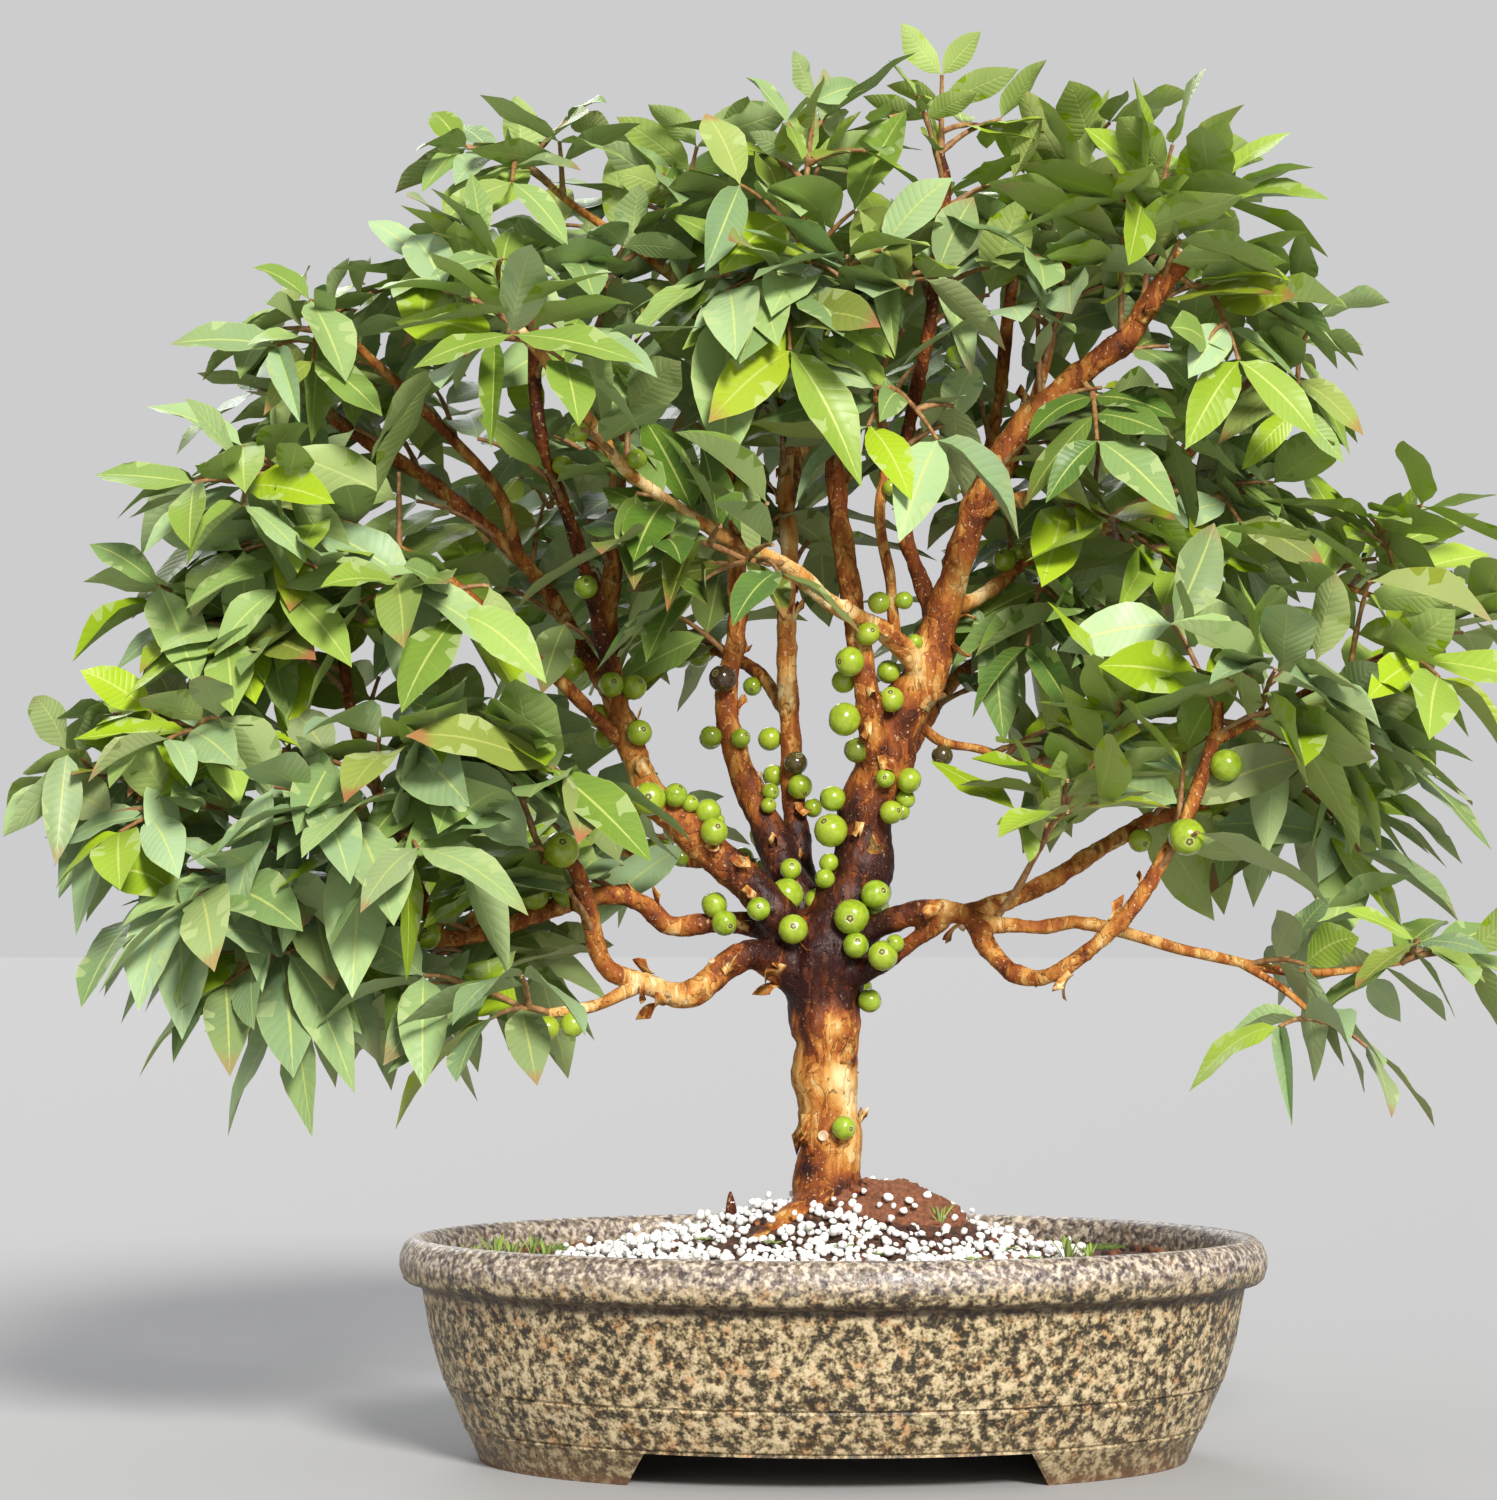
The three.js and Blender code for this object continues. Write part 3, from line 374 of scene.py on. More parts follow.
limbs = {
    "trunk": [[-2, 0, 70, 22], [-1, 0, 108, 20], [-2, 0, 124, 18], [-2, 0, 142, 16.5], [-3, 0, 180, 15.5],
        [-4, 0, 208, 16.5], [-5, 0, 232, 20], [-4, 0, 252, 20], [0, 2, 268, 15]],
    "rootFront": [[-6, -3, 128, 11], [-20, -22, 118, 9], [-36, -40, 107, 7], [-54, -56, 92, 5]],
    "rootRight": [[4, -4, 127, 12], [24, -10, 122, 11], [46, -14, 113, 8], [74, -14, 95, 5]],
    "rootBack": [[-6, 6, 124, 10], [-26, 28, 114, 8], [-44, 48, 96, 5]],
    "rootBackRight": [[4, 6, 124, 10], [22, 30, 114, 8], [34, 54, 96, 5]],
    "crownLeft": [[-9, 0, 234, 13], [-24, -6, 246, 11.5], [-36, -11, 253, 9]],
    "crownRight": [[1, 0, 234, 13], [10, -6, 251, 10], [20, -14, 262, 7]],
    "armA": [[-10, 0, 244, 12], [-34, -10, 276, 10], [-74, -17, 313, 9], [-90, -18, 328, 8],
        [-106, -14, 368, 6.4], [-112, -8, 405, 5.4], [-110, -3, 451, 4.8], [-108, 1, 500, 4.3],
        [-116, 0, 560, 3]],
    "armB": [[-16, 0, 240, 11], [-42, -22, 249, 7.5], [-72, -42, 230, 6.4], [-90, -52, 235, 5.7],
        [-112, -60, 245, 5], [-119, -63, 272, 4.6], [-127, -68, 293, 4], [-141, -74, 296, 3.2]],
    "armBSide": [[-94, -54, 236, 4], [-114, -72, 226, 3], [-138, -86, 222, 2.4]],
    "armC": [[-13, 4, 254, 10], [-31, 4, 262, 7], [-57, 0, 265, 5.6], [-81, -6, 264, 5.2],
        [-96, -11, 275, 5], [-116, -17, 279, 4.8], [-146, -27, 269, 4.5], [-186, -36, 257, 4.1],
        [-229, -44, 260, 3.4], [-248, -47, 266, 2.8]],
    "armCEnd": [[-231, -44, 260, 3.2], [-252, -52, 281, 2.5], [-264, -56, 300, 2.2], [-266, -66, 350, 1.9]],
    "armCUp": [[-193, -37, 257, 4], [-213, -40, 302, 3.6], [-236, -44, 366, 3.1], [-241, -46, 400, 3],
        [-247, -48, 427, 2.8], [-253, -50, 461, 2.4]],
    "armD": [[-12, 6, 261, 12], [-23, 12, 291, 9.5], [-40, 18, 330, 8], [-53, 22, 370, 5.8],
        [-47, 26, 428, 5], [-52, 28, 480, 4.5], [-57, 28, 525, 4], [-76, 20, 602, 3.6]],
    "armDTwig": [[-72, 22, 580, 3], [-85, 11, 596, 2.6], [-129, -8, 624, 2], [-145, -14, 637, 1.6]],
    "armE": [[-5, 6, 266, 11], [-15, 24, 291, 7.5], [-20, 34, 340, 5.8], [-23, 40, 419, 5],
        [-21, 42, 445, 4.9], [-23, 44, 480, 4.6], [-24, 47, 530, 4], [-41, 42, 615, 2.5]],
    "armF": [[0, 2, 261, 17], [13, 4, 288, 15], [18, 3, 325, 14], [32, 2, 362, 13.5], [45, 0, 388, 12],
        [54, 0, 414, 9], [62, -3, 443, 7.4], [76, -8, 479, 8.4], [96, -13, 514, 7], [112, -17, 529, 6.5],
        [143, -24, 553, 6.2], [158, -28, 573, 6], [174, -32, 595, 5.6]],
    "armFPale": [[46, -6, 390, 6], [26, -20, 409, 5.2], [-2, -36, 423, 4.6], [-24, -50, 440, 4.2],
        [-53, -66, 452, 4], [-95, -90, 477, 3.6], [-111, -99, 495, 3.4], [-140, -114, 534, 2.8],
        [-155, -120, 550, 2.5]],
    "armFTwisty": [[31, -17, 405, 3.2], [28, -26, 434, 2.9], [23, -27, 465, 2.8], [26, -26, 500, 2.7],
        [22, -24, 523, 2.4], [24, -22, 542, 2]],
    "armFDark": [[53, 2, 406, 6], [46, 11, 434, 4.4], [36, 18, 468, 4.2], [37, 20, 505, 3.8],
        [48, 12, 557, 3.4], [52, 5, 590, 3.3], [57, -3, 632, 3], [54, -5, 651, 2.8]],
    "armFStraight": [[64, 2, 444, 4.5], [74, 18, 476, 4], [84, 30, 520, 3.7], [92, 34, 585, 3.2],
        [94, 34, 611, 2.8]],
    "armFStub": [[96, -12, 513, 3.4], [106, -4, 543, 2.8], [117, 4, 585, 2.4], [123, 5, 632, 2],
        [125, 5, 647, 1.7]],
    "armG": [[23, 0, 331, 8], [20, -12, 358, 7], [14, -18, 396, 6.1], [6, -12, 448, 5.6], [1, -5, 491, 5],
        [-2, -1, 530, 3.8], [-8, -14, 568, 2.5], [-13, -24, 599, 2.1], [-15, -25, 620, 1.8]],
    "armI": [[57, 2, 420, 4.6], [78, 20, 432, 4], [108, 34, 454, 3.4], [133, 38, 466, 3],
        [161, 40, 481, 2.7], [183, 36, 504, 2.4], [206, 28, 534, 2.1], [230, 20, 552, 1.6]],
    "armIEnd": [[135, 38, 467, 2.5], [169, 46, 458, 2.3], [205, 47, 451, 2.1], [241, 42, 444, 1.8],
        [290, 28, 426, 1.4]],
    "armH": [[6, -4, 250, 9], [22, -20, 264, 6.4], [48, -33, 271, 5.7], [66, -40, 267, 5.3],
        [75, -50, 252, 4.8], [88, -64, 240, 4.6], [106, -76, 241, 4.4], [128, -82, 258, 4.2],
        [148, -84, 281, 4], [169, -82, 318, 3.6], [182, -78, 354, 3.2], [184, -76, 371, 3]],
    "armHUpper": [[182, -78, 352, 2.7], [206, -82, 365, 2.3], [226, -84, 376, 2], [271, -75, 397, 1.4]],
    "armHLow": [[70, -42, 265, 4.4], [99, -40, 263, 3.8], [123, -42, 265, 3.5], [174, -56, 251, 2.8],
        [227, -66, 241, 2.1], [273, -66, 246, 1.4]],
    "armHLowEnd": [[196, -61, 246, 2.2], [214, -73, 234, 1.8], [227, -84, 222, 1.5]],
    "armHUp": [[60, -37, 269, 5.6], [84, -30, 275, 5.2], [116, -18, 291, 4.8], [150, -2, 312, 4.2],
        [169, 6, 319, 3.8], [201, 14, 328, 3.2], [232, 20, 339, 2.4]],
    "armHRoot": [[3, -4, 236, 8], [21, -19, 244, 4.8], [38, -29, 255, 4.3], [54, -35, 266, 4]],
    "armS": [[-109, -12, 375, 4.8], [-128, 6, 406, 4.5], [-152, 16, 443, 4.3], [-198, 16, 484, 4.1],
        [-235, 6, 508, 3.9], [-252, 1, 519, 3.6]],
    "armSTwig": [[-157, 16, 446, 3.4], [-169, 0, 483, 3], [-209, -24, 525, 2.8], [-243, -33, 557, 2.3]],
    "armSRed": [[-111, -11, 390, 4.4], [-118, -27, 420, 3.8], [-129, -46, 460, 3.6], [-143, -54, 500, 3.4],
        [-148, -56, 561, 3]],
    "armSFront": [[-102, -17, 351, 4], [-129, -36, 378, 3.4], [-186, -61, 430, 2.9], [-235, -70, 458, 2.5],
        [-276, -74, 486, 2]],
    "armM": [[36, 4, 374, 3.4], [54, 16, 357, 2.6], [76, 28, 353, 2.2], [103, 38, 345, 2],
        [144, 52, 340, 1.6]],
    "backLeft": [[-21, 38, 372, 4.4], [-44, 74, 400, 3.8], [-88, 112, 420, 3.2], [-128, 140, 452, 2.4]],
    "backMid": [[-23, 44, 474, 4.2], [-14, 84, 512, 3.6], [8, 124, 540, 2.8], [20, 146, 572, 2.2]],
    "backRight": [[20, 6, 330, 6], [44, 44, 360, 4.6], [66, 92, 392, 3.8], [104, 128, 420, 3],
        [140, 146, 450, 2.2]],
    "backLow": [[-15, 22, 288, 5.6], [-48, 60, 296, 4.4], [-92, 96, 300, 3.6], [-140, 120, 312, 2.6]],
}

sprays = [
    [[55, -4, 646], [[55, -10, 690], [80, 12, 668], [28, -22, 666]], 34, 0.1, "young"],
    [[-15, -25, 612], [[-9, -30, 672], [-42, -8, 655], [16, -48, 644]], 42, 0.2, "mid"],
    [[123, 5, 634], [[140, 0, 668], [100, 24, 652], [112, 50, 620]], 50, 0.15, "young"],
    [[150, -26, 563], [[168, -34, 650], [202, -16, 632], [140, -60, 618]], 58, 0.2, "young"],
    [[168, -31, 588], [[226, -8, 566], [198, -52, 540]], 46, 0.3, "mid"],
    [[227, 21, 550], [[246, 6, 570], [222, 52, 548], [232, -10, 520]], 42, 0.4, "mid"],
    [[166, 39, 486], [[226, 50, 482], [196, 88, 502], [204, -2, 466]], 48, 0.35, "mid"],
    [[270, 34, 433], [[314, 18, 442], [286, 62, 462], [268, -16, 466]], 48, 0.1, "young"],
    [[252, -79, 389], [[305, -60, 406], [284, -114, 381]], 53, 0.3, "young"],
    [[184, -77, 362], [[240, -52, 338], [206, -122, 384], [276, -70, 342]], 56, 0.3, "mid"],
    [[226, 19, 337], [[272, 42, 322], [262, -12, 300], [214, 62, 326]], 50, 0.4, "mid"],
    [[226, -83, 223], [[252, -96, 206], [208, -112, 216]], 48, 0.55, "mature"],
    [[262, -66, 245], [[300, -60, 252], [262, -30, 236], [276, -100, 256]], 44, 0.25, "mid"],
    [[80, -38, 268], [[148, -66, 366], [110, -96, 318]], 50, 0.1, "young"],
    [[110, 35, 455], [[98, 8, 404], [140, 12, 398], [96, 80, 430]], 46, 0.6, "dark"],
    [[142, 40, 464], [[138, -22, 466], [172, -8, 440]], 52, 0.1, "young"],
    [[106, -5, 544], [[122, -46, 590], [84, -46, 566], [140, 40, 584]], 48, 0.35, "mature"],
    [[122, -19, 537], [[128, -58, 500], [166, -30, 506]], 46, 0.4, "dark"],
    [[50, 9, 572], [[78, -14, 592], [26, -20, 600], [60, 52, 598]], 48, 0.3, "mid"],
    [[-6, -10, 560], [[44, -66, 578], [6, -72, 588]], 54, 0.25, "mature"],
    [[-12, -22, 590], [[-52, -70, 572], [-22, -86, 540]], 60, 0.5, "mid"],
    [[24, -22, 539], [[50, -60, 500], [16, -66, 506]], 50, 0.6, "mature"],
    [[-41, 42, 612], [[-72, 34, 642], [-20, 56, 650], [-44, 96, 626]], 50, 0.2, "mid"],
    [[-75, 20, 596], [[-68, 2, 656], [-104, 40, 636]], 48, 0.2, "mid"],
    [[-142, -13, 635], [[-182, -26, 650], [-132, -22, 664], [-158, -52, 628]], 42, 0.3, "mid"],
    [[-116, 0, 556], [[-104, -30, 600], [-138, 36, 600]], 46, 0.35, "mature"],
    [[-148, -56, 556], [[-184, -66, 598], [-208, -36, 580], [-160, -100, 582]], 50, 0.25, "mid"],
    [[-154, -119, 548], [[-190, -132, 520], [-128, -152, 526]], 54, 0.35, "mid"],
    [[-242, -33, 555], [[-278, -42, 556], [-252, -80, 536], [-240, 10, 574]], 44, 0.45, "mid"],
    [[-250, 1, 517], [[-286, 24, 506], [-226, 50, 540]], 48, 0.35, "mid"],
    [[-274, -74, 484], [[-308, -82, 478], [-280, -120, 462]], 48, 0.25, "mid"],
    [[-253, -50, 459], [[-296, -56, 446], [-266, -98, 424], [-288, 0, 446]], 52, 0.35, "mid"],
    [[-239, -45, 388], [[-330, -48, 420], [-292, -92, 396], [-300, 8, 402]], 50, 0.35, "mid"],
    [[-266, -65, 346], [[-350, -64, 366], [-316, -112, 352], [-322, -20, 358]], 46, 0.3, "mid"],
    [[-264, -58, 312], [[-376, -60, 336], [-340, -104, 308], [-338, -22, 312]], 48, 0.5, "mature"],
    [[-251, -51, 279], [[-334, -72, 268], [-300, -120, 278], [-304, -10, 266]], 54, 0.7, "mature"],
    [[-246, -46, 265], [[-262, -66, 226], [-292, -88, 236], [-226, -6, 232]], 54, 0.7, "mature"],
    [[-208, -39, 288], [[-244, -132, 318], [-196, -138, 300], [-216, -118, 352]], 58, 0.5, "mature"],
    [[-140, -74, 297], [[-162, -112, 350], [-204, -112, 346], [-116, -124, 330]], 64, 0.45, "mid"],
    [[-136, -85, 222], [[-164, -104, 220], [-148, -124, 240], [-196, -78, 236]], 56, 0.65, "mature"],
    [[-200, -36, 257], [[-204, 24, 238], [-156, 34, 236]], 54, 0.5, "dark"],
    [[-186, -61, 430], [[-226, -112, 416], [-178, -124, 410]], 54, 0.4, "mid"],
    [[-24, -51, 441], [[-64, -98, 428], [-28, -104, 432], [-96, -112, 446]], 56, 0.25, "dark"],
    [[-128, 140, 452], [[-186, 172, 470], [-120, 204, 430], [-146, 150, 520]], 54, 0.4, "mid"],
    [[20, 146, 572], [[60, 172, 590], [-44, 178, 576], [22, 214, 526]], 54, 0.35, "mid"],
    [[140, 146, 450], [[196, 158, 470], [116, 208, 440], [156, 150, 520]], 54, 0.4, "mid"],
    [[-140, 120, 312], [[-206, 136, 318], [-140, 190, 330], [-176, 96, 366]], 56, 0.6, "mature"],
]

frontFruit = [
    [8, 394, 7.5], [27, 391, 6], [29, 376, 6.5], [5, 366, 8.5], [12, 351, 6.5], [-18, 346, 6],
    [-16, 334, 6.5], [-31, 331, 4.5], [-32, 324, 4], [-7, 323, 5], [0, 327, 6.5], [-1, 311, 8.5],
    [38, 336, 6.5], [26, 337, 5], [29, 320, 6], [37, 320, 4.5], [44, 323, 5], [55, 348, 5.5], [-2, 295, 5],
    [-4, 287, 5], [-33, 291, 7.5], [-21, 292, 5.5], [-23, 279, 8.5], [-37, 272, 6], [-20, 262, 7.5],
    [-8, 276, 6.5], [21, 279, 7.5], [21, 270, 4], [9, 268, 9], [11, 254, 6.5], [24, 249, 7.5],
    [30, 255, 4.5], [20, 226, 6], [-125, 496, 5], [-131, 488, 5], [-92, 490, 5], [-46, 485, 5],
    [-53, 479, 4], [-122, 430, 6], [-86, 410, 6.5], [-77, 407, 4], [-68, 405, 6.5], [-80, 399, 7],
    [-131, 392, 6.5], [-110, 383, 6.5], [-99, 382, 6.5], [-55, 388, 7], [-40, 387, 5], [-96, 359, 6.5],
    [-61, 359, 5.5], [-46, 358, 5], [-91, 326, 8.5], [-104, 320, 7], [-78, 328, 6], [-71, 324, 4.5],
    [-62, 320, 6.5], [-55, 320, 4.5], [-59, 310, 7], [-88, 306, 6], [-77, 299, 5], [-45, 298, 6],
    [-59, 274, 6.5], [-54, 265, 6.5], [-132, 300, 9], [-148, 280, 8.5], [-130, 282, 9.5], [-199, 259, 7.5],
    [-200, 323, 5.5], [88, 449, 6], [91, 458, 4.5], [103, 455, 6.5], [188, 340, 8], [153, 306, 6],
    [167, 306, 9], [65, 616, 4.5], [-129, 547, 5], [-104, 553, 5], [5, 164, 6], [-138, 209, 6],
    [-127, 210, 6], [52, 500, 5], [28, 480, 4], [22, 423, 5.5], [36, 424, 4.5], [17, 408, 6], [41, 405, 4],
]

# Growth: the routes of the limbs, and where fruit sits on them

def stations(points, perSpan):  # the smooth route of a limb: places, radii and headings
    knots = np.array(points, float)
    spans = len(knots) - 1
    padded = np.vstack([2 * knots[:1] - knots[1:2], knots, 2 * knots[-1:] - knots[-2:-1]])[:, :3]
    along = np.arange(spans * perSpan + 1) / perSpan
    span = np.minimum(along.astype(int), spans - 1)
    share = (along - span)[:, None]
    before, start, end, after = (padded[span + i] for i in range(4))
    leave, arrive = 0.5 * (end - before), 0.5 * (after - start)
    second = 3 * (end - start) - 2 * leave - arrive
    third = 2 * (start - end) + leave + arrive
    places = start + share * (leave + share * (second + share * third))
    headings = leave + share * (2 * second + 3 * share * third)
    radii = np.interp(along, np.arange(spans + 1), knots[:, 3])
    return places, radii, headings / np.linalg.norm(headings, axis=1, keepdims=True)


barkRoutes = {name: stations(points, 4) for name, points in limbs.items()}
barkPlaces = np.vstack([route[0] for route in barkRoutes.values()])
barkRadii = np.concatenate([route[1] for route in barkRoutes.values()])

fruitRule = {
    "seat": 0.82,  # the share of its radius that a fruit stands clear of the bark
    "sideMost": 0.96,  # how far round to the side a fruit seen from the front can sit
    "backLimbs": ["armA", "armF", "armD", "armG", "armE", "armF", "armA", "trunk"],
    "backCount": 34,
    "backHeights": (226, 400),
    "backRadius": (4.5, 9.0),
    "backAngles": (0.05, 0.95),  # shares of the half turn round the back
    "solidFrom": 6.5,  # the smallest fruit that is among the solids
}


def seatFruit(x, z, radius):  # a fruit seen at x and z sits on the nearest bark, on its front
    sideways = np.hypot(barkPlaces[:, 0] - x, barkPlaces[:, 2] - z) - barkRadii
    nearest = int(np.argmin(sideways))
    place = barkPlaces[nearest]
    reach = barkRadii[nearest] + fruitRule["seat"] * radius
    most = reach * fruitRule["sideMost"]
    away = np.array([x - place[0], z - place[2]])
    if np.hypot(*away) > most:
        away *= most / np.hypot(*away)
    front = math.sqrt(reach ** 2 - away @ away)
    side = np.array([away[0], -front, away[1]])
    return place + side, radius, unit(side)


def backFruit(index):  # fruit round the back of the thick limbs
    look = fruitRule
    names = look["backLimbs"]
    places, radii, _ = barkRoutes[names[index % len(names)]]
    low, high = look["backHeights"]
    reachable = np.flatnonzero((places[:, 2] > low) & (places[:, 2] < high))
    chosen = reachable[int(draw(index, 11) * len(reachable))]
    radius = varied(look["backRadius"], draw(index, 12))
    angle = varied(look["backAngles"], draw(index, 13)) * math.pi
    side = np.array([math.cos(angle), math.sin(angle), 0.0])
    return places[chosen] + side * (radii[chosen] + look["seat"] * radius), radius, side


fruits = [seatFruit(*row) for row in frontFruit]
fruits += [backFruit(index) for index in range(fruitRule["backCount"])]


# Wood: thick limbs welded and smoothed, thin limbs as tubes, then flakes of bark

woodLook = {
    "thickFrom": 3.4,  # millimetres; a limb is welded to the others down to this radius
    "voxel": 1.6,
    "smoothing": 5,
    "lumps": [(0.014, 1.7), (0.0045, 1.2)],  # size in metres and height in millimetres
    "stationsPerSpan": 10,
    "shortest": 6,  # stations of a thick limb
    "sides": {"thick": 16, "thin": 10},
    "swellings": [(0.07, 9, 31), (0.05, 23, 32)],  # share of the radius, millimetres apart, seed
    "sway": (0.12, 17, (33, 34, 35)),
    "junction": (-6, 268, 44, 62),  # middle, height and reaches of the fork of the trunk, painted darker as shade where the limbs part, and made glossier
    "tones": {  # from dark red brown at 0 to cream at 1
        "trunk": 0.66, "rootFront": 0.58, "rootRight": 0.3, "crownLeft": 0.3, "crownRight": 0.3,
        "armB": 0.54, "armBSide": 0.62, "armE": 0.58, "armF": 0.38, "armFPale": 0.72,
        "armFTwisty": 0.6, "armFDark": 0.28, "armH": 0.45, "armHUp": 0.5, "armSRed": 0.16,
        "armCUp": 0.42, "armDTwig": 0.62, "armM": 0.6, "armI": 0.46, "armHLow": 0.6,
    },
    "plainTone": 0.48,
    "paleSpots": [(70, 436, 12, 0.5), (-22, 462, 15, 0.35), (-92, 234, 14, 0.34), (4, 190, 7, 0.22),
                  (2, 212, 6, 0.22), (9, 176, 8, 0.18), (-32, 236, 7, 0.3), (100, 520, 16, 0.2)],
    "darkSpots": [(-13, 143, 5, 0.5), (6, 232, 6, 0.4), (32, 345, 16, 0.3), (36, 372, 14, 0.3),
                  (10, 196, 2.5, 0.4), (-14, 190, 7, 0.14), (12, 132, 12, 0.3)],
    "wetDark": 0.62,  # how much darker the fork is painted, as shade
    "paleSpotFade": 0.7,  # how much of the fork's painted shade and gloss the pale spots lose
    "soilLine": (112, 12, 0.2),  # height, fade and depth of the dark foot of the trunk
    "dryness": 0.62,
    "barkColours": ((0.0, (0.028, 0.005, 0.003)), (0.2, (0.10, 0.022, 0.005)), (0.42, (0.26, 0.064, 0.009)),
                    (0.60, (0.45, 0.17, 0.028)), (0.78, (0.63, 0.35, 0.10)), (1.0, (0.80, 0.60, 0.31))),
    "lenticels": (0.72, 0.50, 0.27),
    "grime": (0.055, 0.014, 0.006),
    "cutSkin": {"roughness": 0.8, "grain": (420, 4), "relief": (0.0004, 1.0),
                "colours": ((0.3, (0.52, 0.34, 0.19)), (0.7, (0.74, 0.58, 0.40)))},
    "disc": {"vertices": 24, "thickness": 2.4, "ring": 0.22, "sunk": 0.4},  # a sawn face, with its callus
    "scars": [(-5, 160, 2.6), (14, 500, 1.8), (-32, 340, 1.6), (62, 262, 1.8), (-60, 246, 1.6)],
}
flakeLook = {
    "seen": [  # place as seen from the front, length and width in millimetres, and curl
        (84, 461, 26, 15, 1.5), (62, 404, 16, 9, 1.2), (-31, 232, 15, 8, 1.4), (-24, 241, 18, 7, 1.1),
        (114, 242, 13, 6, 1.3), (-79, 226, 16, 8, 1.5), (-92, 232, 10, 6, 1.0), (-14, 172, 20, 8, 0.7),
        (6, 196, 16, 7, 0.8), (-12, 150, 14, 7, 0.8), (-20, 262, 14, 7, 1.2), (20, 300, 15, 8, 1.1),
        (46, 372, 15, 8, 1.0), (-52, 300, 12, 6, 1.1), (-94, 340, 13, 6, 1.0), (-22, 420, 14, 5, 0.9),
        (-24, 500, 12, 5, 1.0), (100, 512, 13, 6, 1.2), (150, 560, 12, 6, 1.0), (60, 262, 12, 6, 1.0),
    ],
    "more": 46,
    "moreLength": (7, 16),
    "moreWidth": 0.45,  # for a length of one
    "moreCurl": (0.6, 1.4),
    "thickness": 1.1,
    "limbs": ["trunk", "armF", "armA", "armD", "armE", "armG", "armH", "armC", "armFPale", "armB"],
}


def wander(length, step, *seeds):  # a smooth random line between -1 and 1 along a length
    count = int(length[-1] / step) + 3
    knots = np.array([2 * draw(index, *seeds) - 1 for index in range(count)])
    along = length / step
    low = along.astype(int)
    share = along - low
    share = share * share * (3 - 2 * share)
    return knots[low] * (1 - share) + knots[low + 1] * share


def lengthsOf(places):
    return np.concatenate([[0], np.cumsum(np.linalg.norm(np.diff(places, axis=0), axis=1))])


def tubes(routes, sides):  # round tubes with closed ends along routes of places and radii
    bpy.ops.curve.primitive_bezier_curve_add()
    piece = bpy.context.object
    curve = piece.data
    curve.splines.clear()
    curve.dimensions = "3D"
    curve.bevel_depth = 1
    curve.bevel_resolution = sides // 2 - 2
    curve.use_fill_caps = True
    for places, radii in routes:
        spline = curve.splines.new("POLY")
        spline.points.add(len(places) - 1)
        spline.points.foreach_set("co", np.column_stack([inScene(places), np.ones(len(places))]).ravel())
        spline.points.foreach_set("radius", np.asarray(radii) * mm)
    choose(piece)
    bpy.ops.object.convert(target="MESH")
    return bpy.context.object


def limbRoute(number, name):  # a limb with swellings and small bends, denser than its stations
    look = woodLook
    places, radii, _ = stations(limbs[name], look["stationsPerSpan"])
    length = lengthsOf(places)
    swelling = sum(share * wander(length, step, number, seed) for share, step, seed in look["swellings"])
    share, step, seeds = look["sway"]
    sway = np.column_stack([wander(length, step, number, seed) for seed in seeds])
    return places + share * radii[:, None] * sway, radii * (1 + swelling)


def paintBark(piece):  # the tone of the nearest limbs, and the painted shade and the gloss of the fork
    look = woodLook
    tree = KDTree(len(barkPlaces))
    tones = []
    for name, (places, _, _) in barkRoutes.items():
        tones += [look["tones"].get(name, look["plainTone"])] * len(places)
    for index, place in enumerate(inScene(barkPlaces)):
        tree.insert(place, index)
    tree.balance()
    corners = cornersOf(piece.data)
    tone = np.empty(len(corners))
    for index, corner in enumerate(corners):
        found = tree.find_n(corner, 4)
        weights = np.array([1 / (far + 0.001) ** 2 for _, _, far in found])
        tone[index] = weights @ [tones[which] for _, which, _ in found] / weights.sum()
    x, _, z = ((corners - potMiddle) / mm).T
    middle, height, across, upright = look["junction"]
    # the fork where the limbs part, painted darker as shade and made glossier
    wet = np.exp(-(((x - middle) / across) ** 4 + ((z - height) / upright) ** 4))
    for spotX, spotZ, reach, rise in look["paleSpots"]:
        near = np.exp(-((x - spotX) ** 2 + (z - spotZ) ** 2) / reach ** 2)
        tone += rise * near
        wet *= 1 - look["paleSpotFade"] * near
    for spotX, spotZ, reach, fall in look["darkSpots"]:
        tone -= fall * np.exp(-((x - spotX) ** 2 + (z - spotZ) ** 2) / reach ** 2)
    height, fade, depth = look["soilLine"]
    foot = np.exp(-np.maximum(z - height, 0) / fade)
    # painted shade at the fork, and the darker foot of the trunk
    tone -= look["wetDark"] * wet + depth * foot
    paint(piece.data, tone=np.clip(tone, 0, 1), wet=np.clip(wet, 0, 1))


